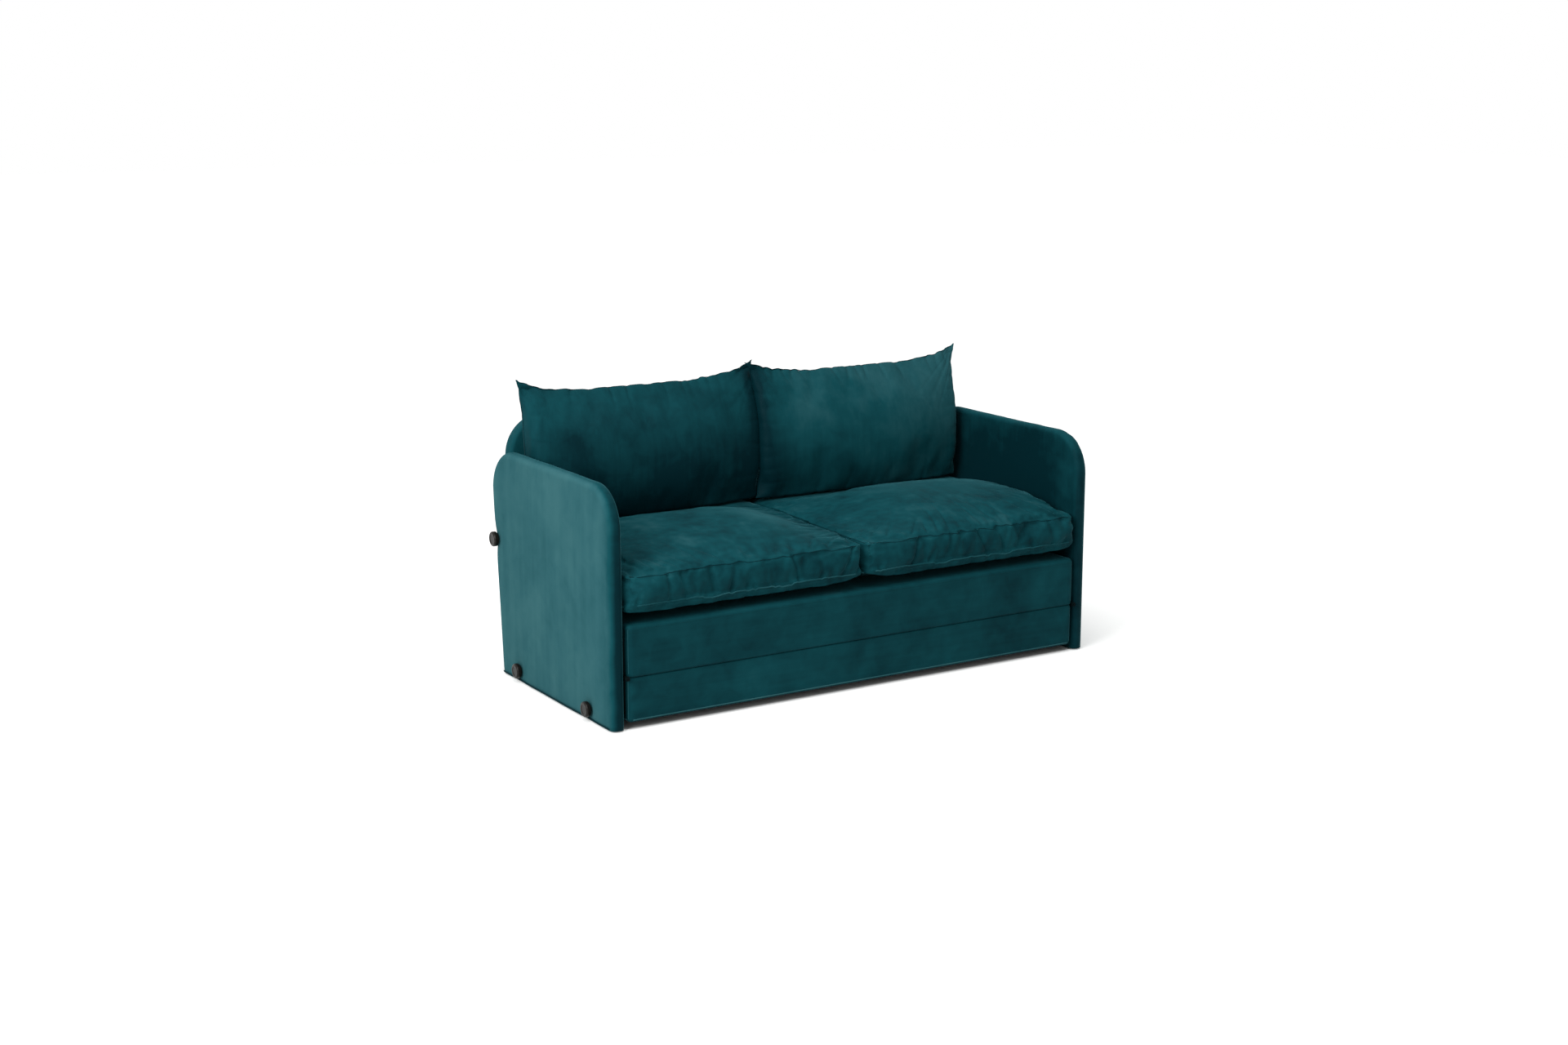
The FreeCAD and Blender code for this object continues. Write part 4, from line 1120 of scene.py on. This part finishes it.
def back_cushion(side, seed):
    node = f"back_cushion_filling_{side}"
    low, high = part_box(node)
    cover_low, cover_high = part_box(f"back_cushion_cover_{side}")
    piece = remeshed_copy(f"back_cushion_{side}", node, PILLOW_VOXEL)
    points = surface_of(piece)[0]
    x, y, z = points
    inward = 1 if side == "left" else -1
    middle = (low.x + high.x) / 2
    half = (high.x - low.x) / 2
    along = np.abs(x - middle) / half
    crest = PILLOW_CREST + PILLOW_EAR_RISE * along**3
    edge = along > 0.97
    lean, foot = np.polyfit(z[edge], y[edge], 1)
    seam_plane = foot + lean * z
    from_seam = np.minimum(half * (1 - along), crest - z)
    blunt = 1 + EDGE_FILL * near(np.maximum(from_seam, 0), 0.045)
    points[1] = np.where(y < seam_plane, seam_plane + (y - seam_plane) * blunt, y)
    set_points(piece, points)
    held = z > crest - 0.005
    held |= along > 1 - 0.012
    held |= z < low.z + 0.008
    held |= y > (high.y - 0.05) + PILLOW_REAR_LEAN * (z - high.z)
    fill_with_air(piece, held, PILLOW_SHRINK, PILLOW_PRESSURE, PILLOW_SLACK, PILLOW_CAP)
    x, y, z = surface_of(piece)[0]
    from_tip = np.hypot(half - np.abs(x - middle), high.z - z)
    relaxed = piece.vertex_groups.new(name="relaxed")
    sharp = near(from_tip, 0.06) * np.where(inward * (x - middle) > 0, INNER_EAR_KEPT[side], 1.0)
    for i, weight in enumerate(1 - sharp):
        relaxed.add([i], float(weight), "REPLACE")
    smooth(piece, 0.5, PILLOW_RELAX, "relaxed")
    piece.vertex_groups.clear()
    subdivide_once(piece)

    def folds(points, normals):
        x, y, z = points
        side_gap = half - np.abs(x - middle)
        below = PILLOW_CREST + 0.002 + PILLOW_EAR_RISE * (np.abs(x - middle) / half) ** 3 - z
        above = z - low.z
        facing = ease(-normals[1] * 1.5)
        body = ease(below / 0.012) * ease(side_gap / 0.04)
        push = near(below, 0.045) * PILLOW_TOP_FOLD * crease(x * 17, below * 5, seed)
        push += near(side_gap, 0.06) * PILLOW_SIDE_FOLD * crease(z * 13, side_gap * 4, seed + 1)
        push += near(above, 0.06) * PILLOW_SIDE_FOLD * crease(x * 10, above * 4, seed + 2)
        pull = np.hypot(side_gap, below)
        fan = 3.5 * np.arctan2(below, side_gap)
        push += near(pull, 0.13) * PILLOW_EAR_FOLD * crease(fan, pull * 4, seed + 3)
        return body * (push + facing * PILLOW_RIPPLE * soft_noise(x * 4.5, z * 4.5, seed + 4))

    move_along_normals(piece, folds)
    smooth(piece, 0.4, 2)
    points = surface_of(piece)[0]
    x, y, z = points
    to_edge = half - inward * (x - middle)
    meeting = near(to_edge, 0.09)
    from_tip = np.hypot(half - np.abs(x - middle), high.z - z)
    reach, tip = INNER_REACH[side]
    points[0] += inward * (reach + (tip - reach) * near(from_tip, 0.035)) * meeting
    points[1] += inward * INNER_STEP * meeting
    points[0] += np.sign(x - middle) * EAR_OUT * near(from_tip, 0.1) * (to_edge > half)
    points[2] += EAR_UP * near(from_tip, 0.05)
    set_points(piece, points)
    dress(piece, f"back_cushion_{side}", pillow_velvet)
    dull, bright, across = PILLOW_LIGHT_AND_SHADE[side]

    # Painted light and shade: darker low down and lighter high up, graded across, and darker along the joint
    # where the cushions meet.
    def light_and_lay(points, normals):
        rising = ease((points[2] - 0.47) / 0.36)
        to_joint = half - inward * (points[0] - middle)
        shaded = JOINT_SHADE[side] * near(to_joint, 0.07) + 0.3 * near(to_joint, 0.022)
        return dull + (bright - dull) * rising + across * (points[0] - middle) / half - shaded

    paint_light_and_lay(piece, light_and_lay)
    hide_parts(f"back_cushion_cover_{side}", node)
    for pressed in (piece, knife_edge_seam(piece, side)):
        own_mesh(pressed)


pillow_velvet = velvet("pillow_velvet")
back_cushion("left", 41)
back_cushion("right", 59)

# Studio: a white floor that keeps a soft shadow, with painted shade where its glow fades out round and
# under the sofa, a large soft key lamp on the left of the view, a weaker one overhead, a pale surround, and
# the photograph's camera.
FLOOR_SIZE = 60.0
FLOOR_GLOW = 0.66
FOOTPRINT = (0.804, 0.375)
SURROUND = 0.45
LAMP_AIM = Vector((0.0, 0.0, 0.4))
KEY_PLACE = Vector((-4.2, -1.6, 2.6))
OVERHEAD_PLACE = Vector((-0.6, -1.2, 3.6))
CAMERA_PLACE = Vector((-3.292, -5.232, 1.744))
CAMERA_AIM = Vector((0.5164, 0.8302, -0.2101))
CAMERA_LENS = 49.34
SENSOR = 36.0


def seen_directly(tree):
    """1 for rays from the camera and for what metal or glass shows, 0 for light on the object."""
    path = node_in(tree, "ShaderNodeLightPath")
    seen = path.outputs["Is Camera Ray"]
    for kind in ("Is Glossy Ray", "Is Transmission Ray"):
        seen = math_in(tree, "MAXIMUM", seen, path.outputs[kind])
    return seen


def floor_white():
    """Pale floor that reads as white where it is fully lit and keeps the shadow, with painted shade round and
    under the sofa where its glow fades out.
    """
    made, tree, shader = new_material("studio_floor")
    place = own_place(tree)
    grain = texture(tree, place, NOISE, EVEN, Scale=2.0, Detail=1.0)
    colour = ramp_from(tree, grain, [(0.3, (0.78, 0.79, 0.78)), (0.7, (0.82, 0.83, 0.82))])
    tree.links.new(colour, shader.inputs["Base Color"])
    shader.inputs["Roughness"].default_value = 0.9
    shader.inputs["Specular IOR Level"].default_value = 0.0
    # Painted shade: the glow is nothing inside the sofa's footprint and rises from its edge, so the floor is
    # darker round and under the sofa.
    apart = node_in(tree, "ShaderNodeSeparateXYZ")
    tree.links.new(place, apart.inputs["Vector"])
    beyond = []
    for axis, reach in zip("XY", FOOTPRINT):
        size = math_in(tree, "ABSOLUTE", apart.outputs[axis])
        beyond.append(math_in(tree, "SUBTRACT", size, reach))
    near_far = node_in(tree, "ShaderNodeMapRange", From_Min=-0.03, From_Max=2.0)
    tree.links.new(math_in(tree, "MAXIMUM", *beyond), near_far.inputs["Value"])
    glow = node_in(tree, "ShaderNodeFloatCurve")
    tree.links.new(near_far.outputs["Result"], glow.inputs["Value"])
    curve = glow.mapping.curves[0]
    curve.points[0].location = (0.0, 0.0)
    curve.points[1].location = (1.0, FLOOR_GLOW)
    curve.points.new(0.022, 0.55 * FLOOR_GLOW)
    glow.mapping.update()
    strength = math_in(tree, "MULTIPLY", seen_directly(tree), glow.outputs[0])
    tree.links.new(strength, shader.inputs["Emission Strength"])
    shader.inputs["Emission Color"].default_value = (1, 1, 1, 1)
    return made


def studio_world():
    world = bpy.data.worlds.new("studio")
    bpy.context.scene.world = world
    world.use_nodes = True
    tree = world.node_tree
    ground = tree.nodes["Background"]
    level = node_in(tree, "ShaderNodeMapRange", To_Min=SURROUND, To_Max=1.0)
    tree.links.new(seen_directly(tree), level.inputs["Value"])
    tree.links.new(level.outputs["Result"], ground.inputs["Strength"])
    ground.inputs["Color"].default_value = (1, 1, 1, 1)


def aimed(name, data, place, direction):
    """Lamp or camera that stands at a place and looks along a direction."""
    made = placed(name, data)
    made.location = place
    made.rotation_mode = "QUATERNION"
    made.rotation_quaternion = direction.to_track_quat("-Z", "Y")
    return made


def soft_lamp(name, place, size, power):
    lamp = bpy.data.lights.new(name, "AREA")
    lamp.shape = "RECTANGLE"
    lamp.size, lamp.size_y = size
    lamp.energy = power
    aimed(name, lamp, place, LAMP_AIM - place).visible_camera = False


bm = bmesh.new()
bmesh.ops.create_grid(bm, x_segments=2, y_segments=2, size=FLOOR_SIZE / 2)
floor = placed("studio_floor", mesh_from("studio_floor", bm))
floor.data.materials.append(floor_white())
studio_world()
soft_lamp("key", KEY_PLACE, (2.6, 2.6), 190.0)
soft_lamp("overhead", OVERHEAD_PLACE, (3.0, 2.4), 70.0)

camera_data = bpy.data.cameras.new("camera")
camera_data.sensor_fit = "HORIZONTAL"
camera_data.sensor_width = SENSOR
camera_data.lens = CAMERA_LENS
bpy.context.scene.camera = aimed("camera", camera_data, CAMERA_PLACE, CAMERA_AIM)
bpy.context.scene.view_settings.view_transform = "Standard"
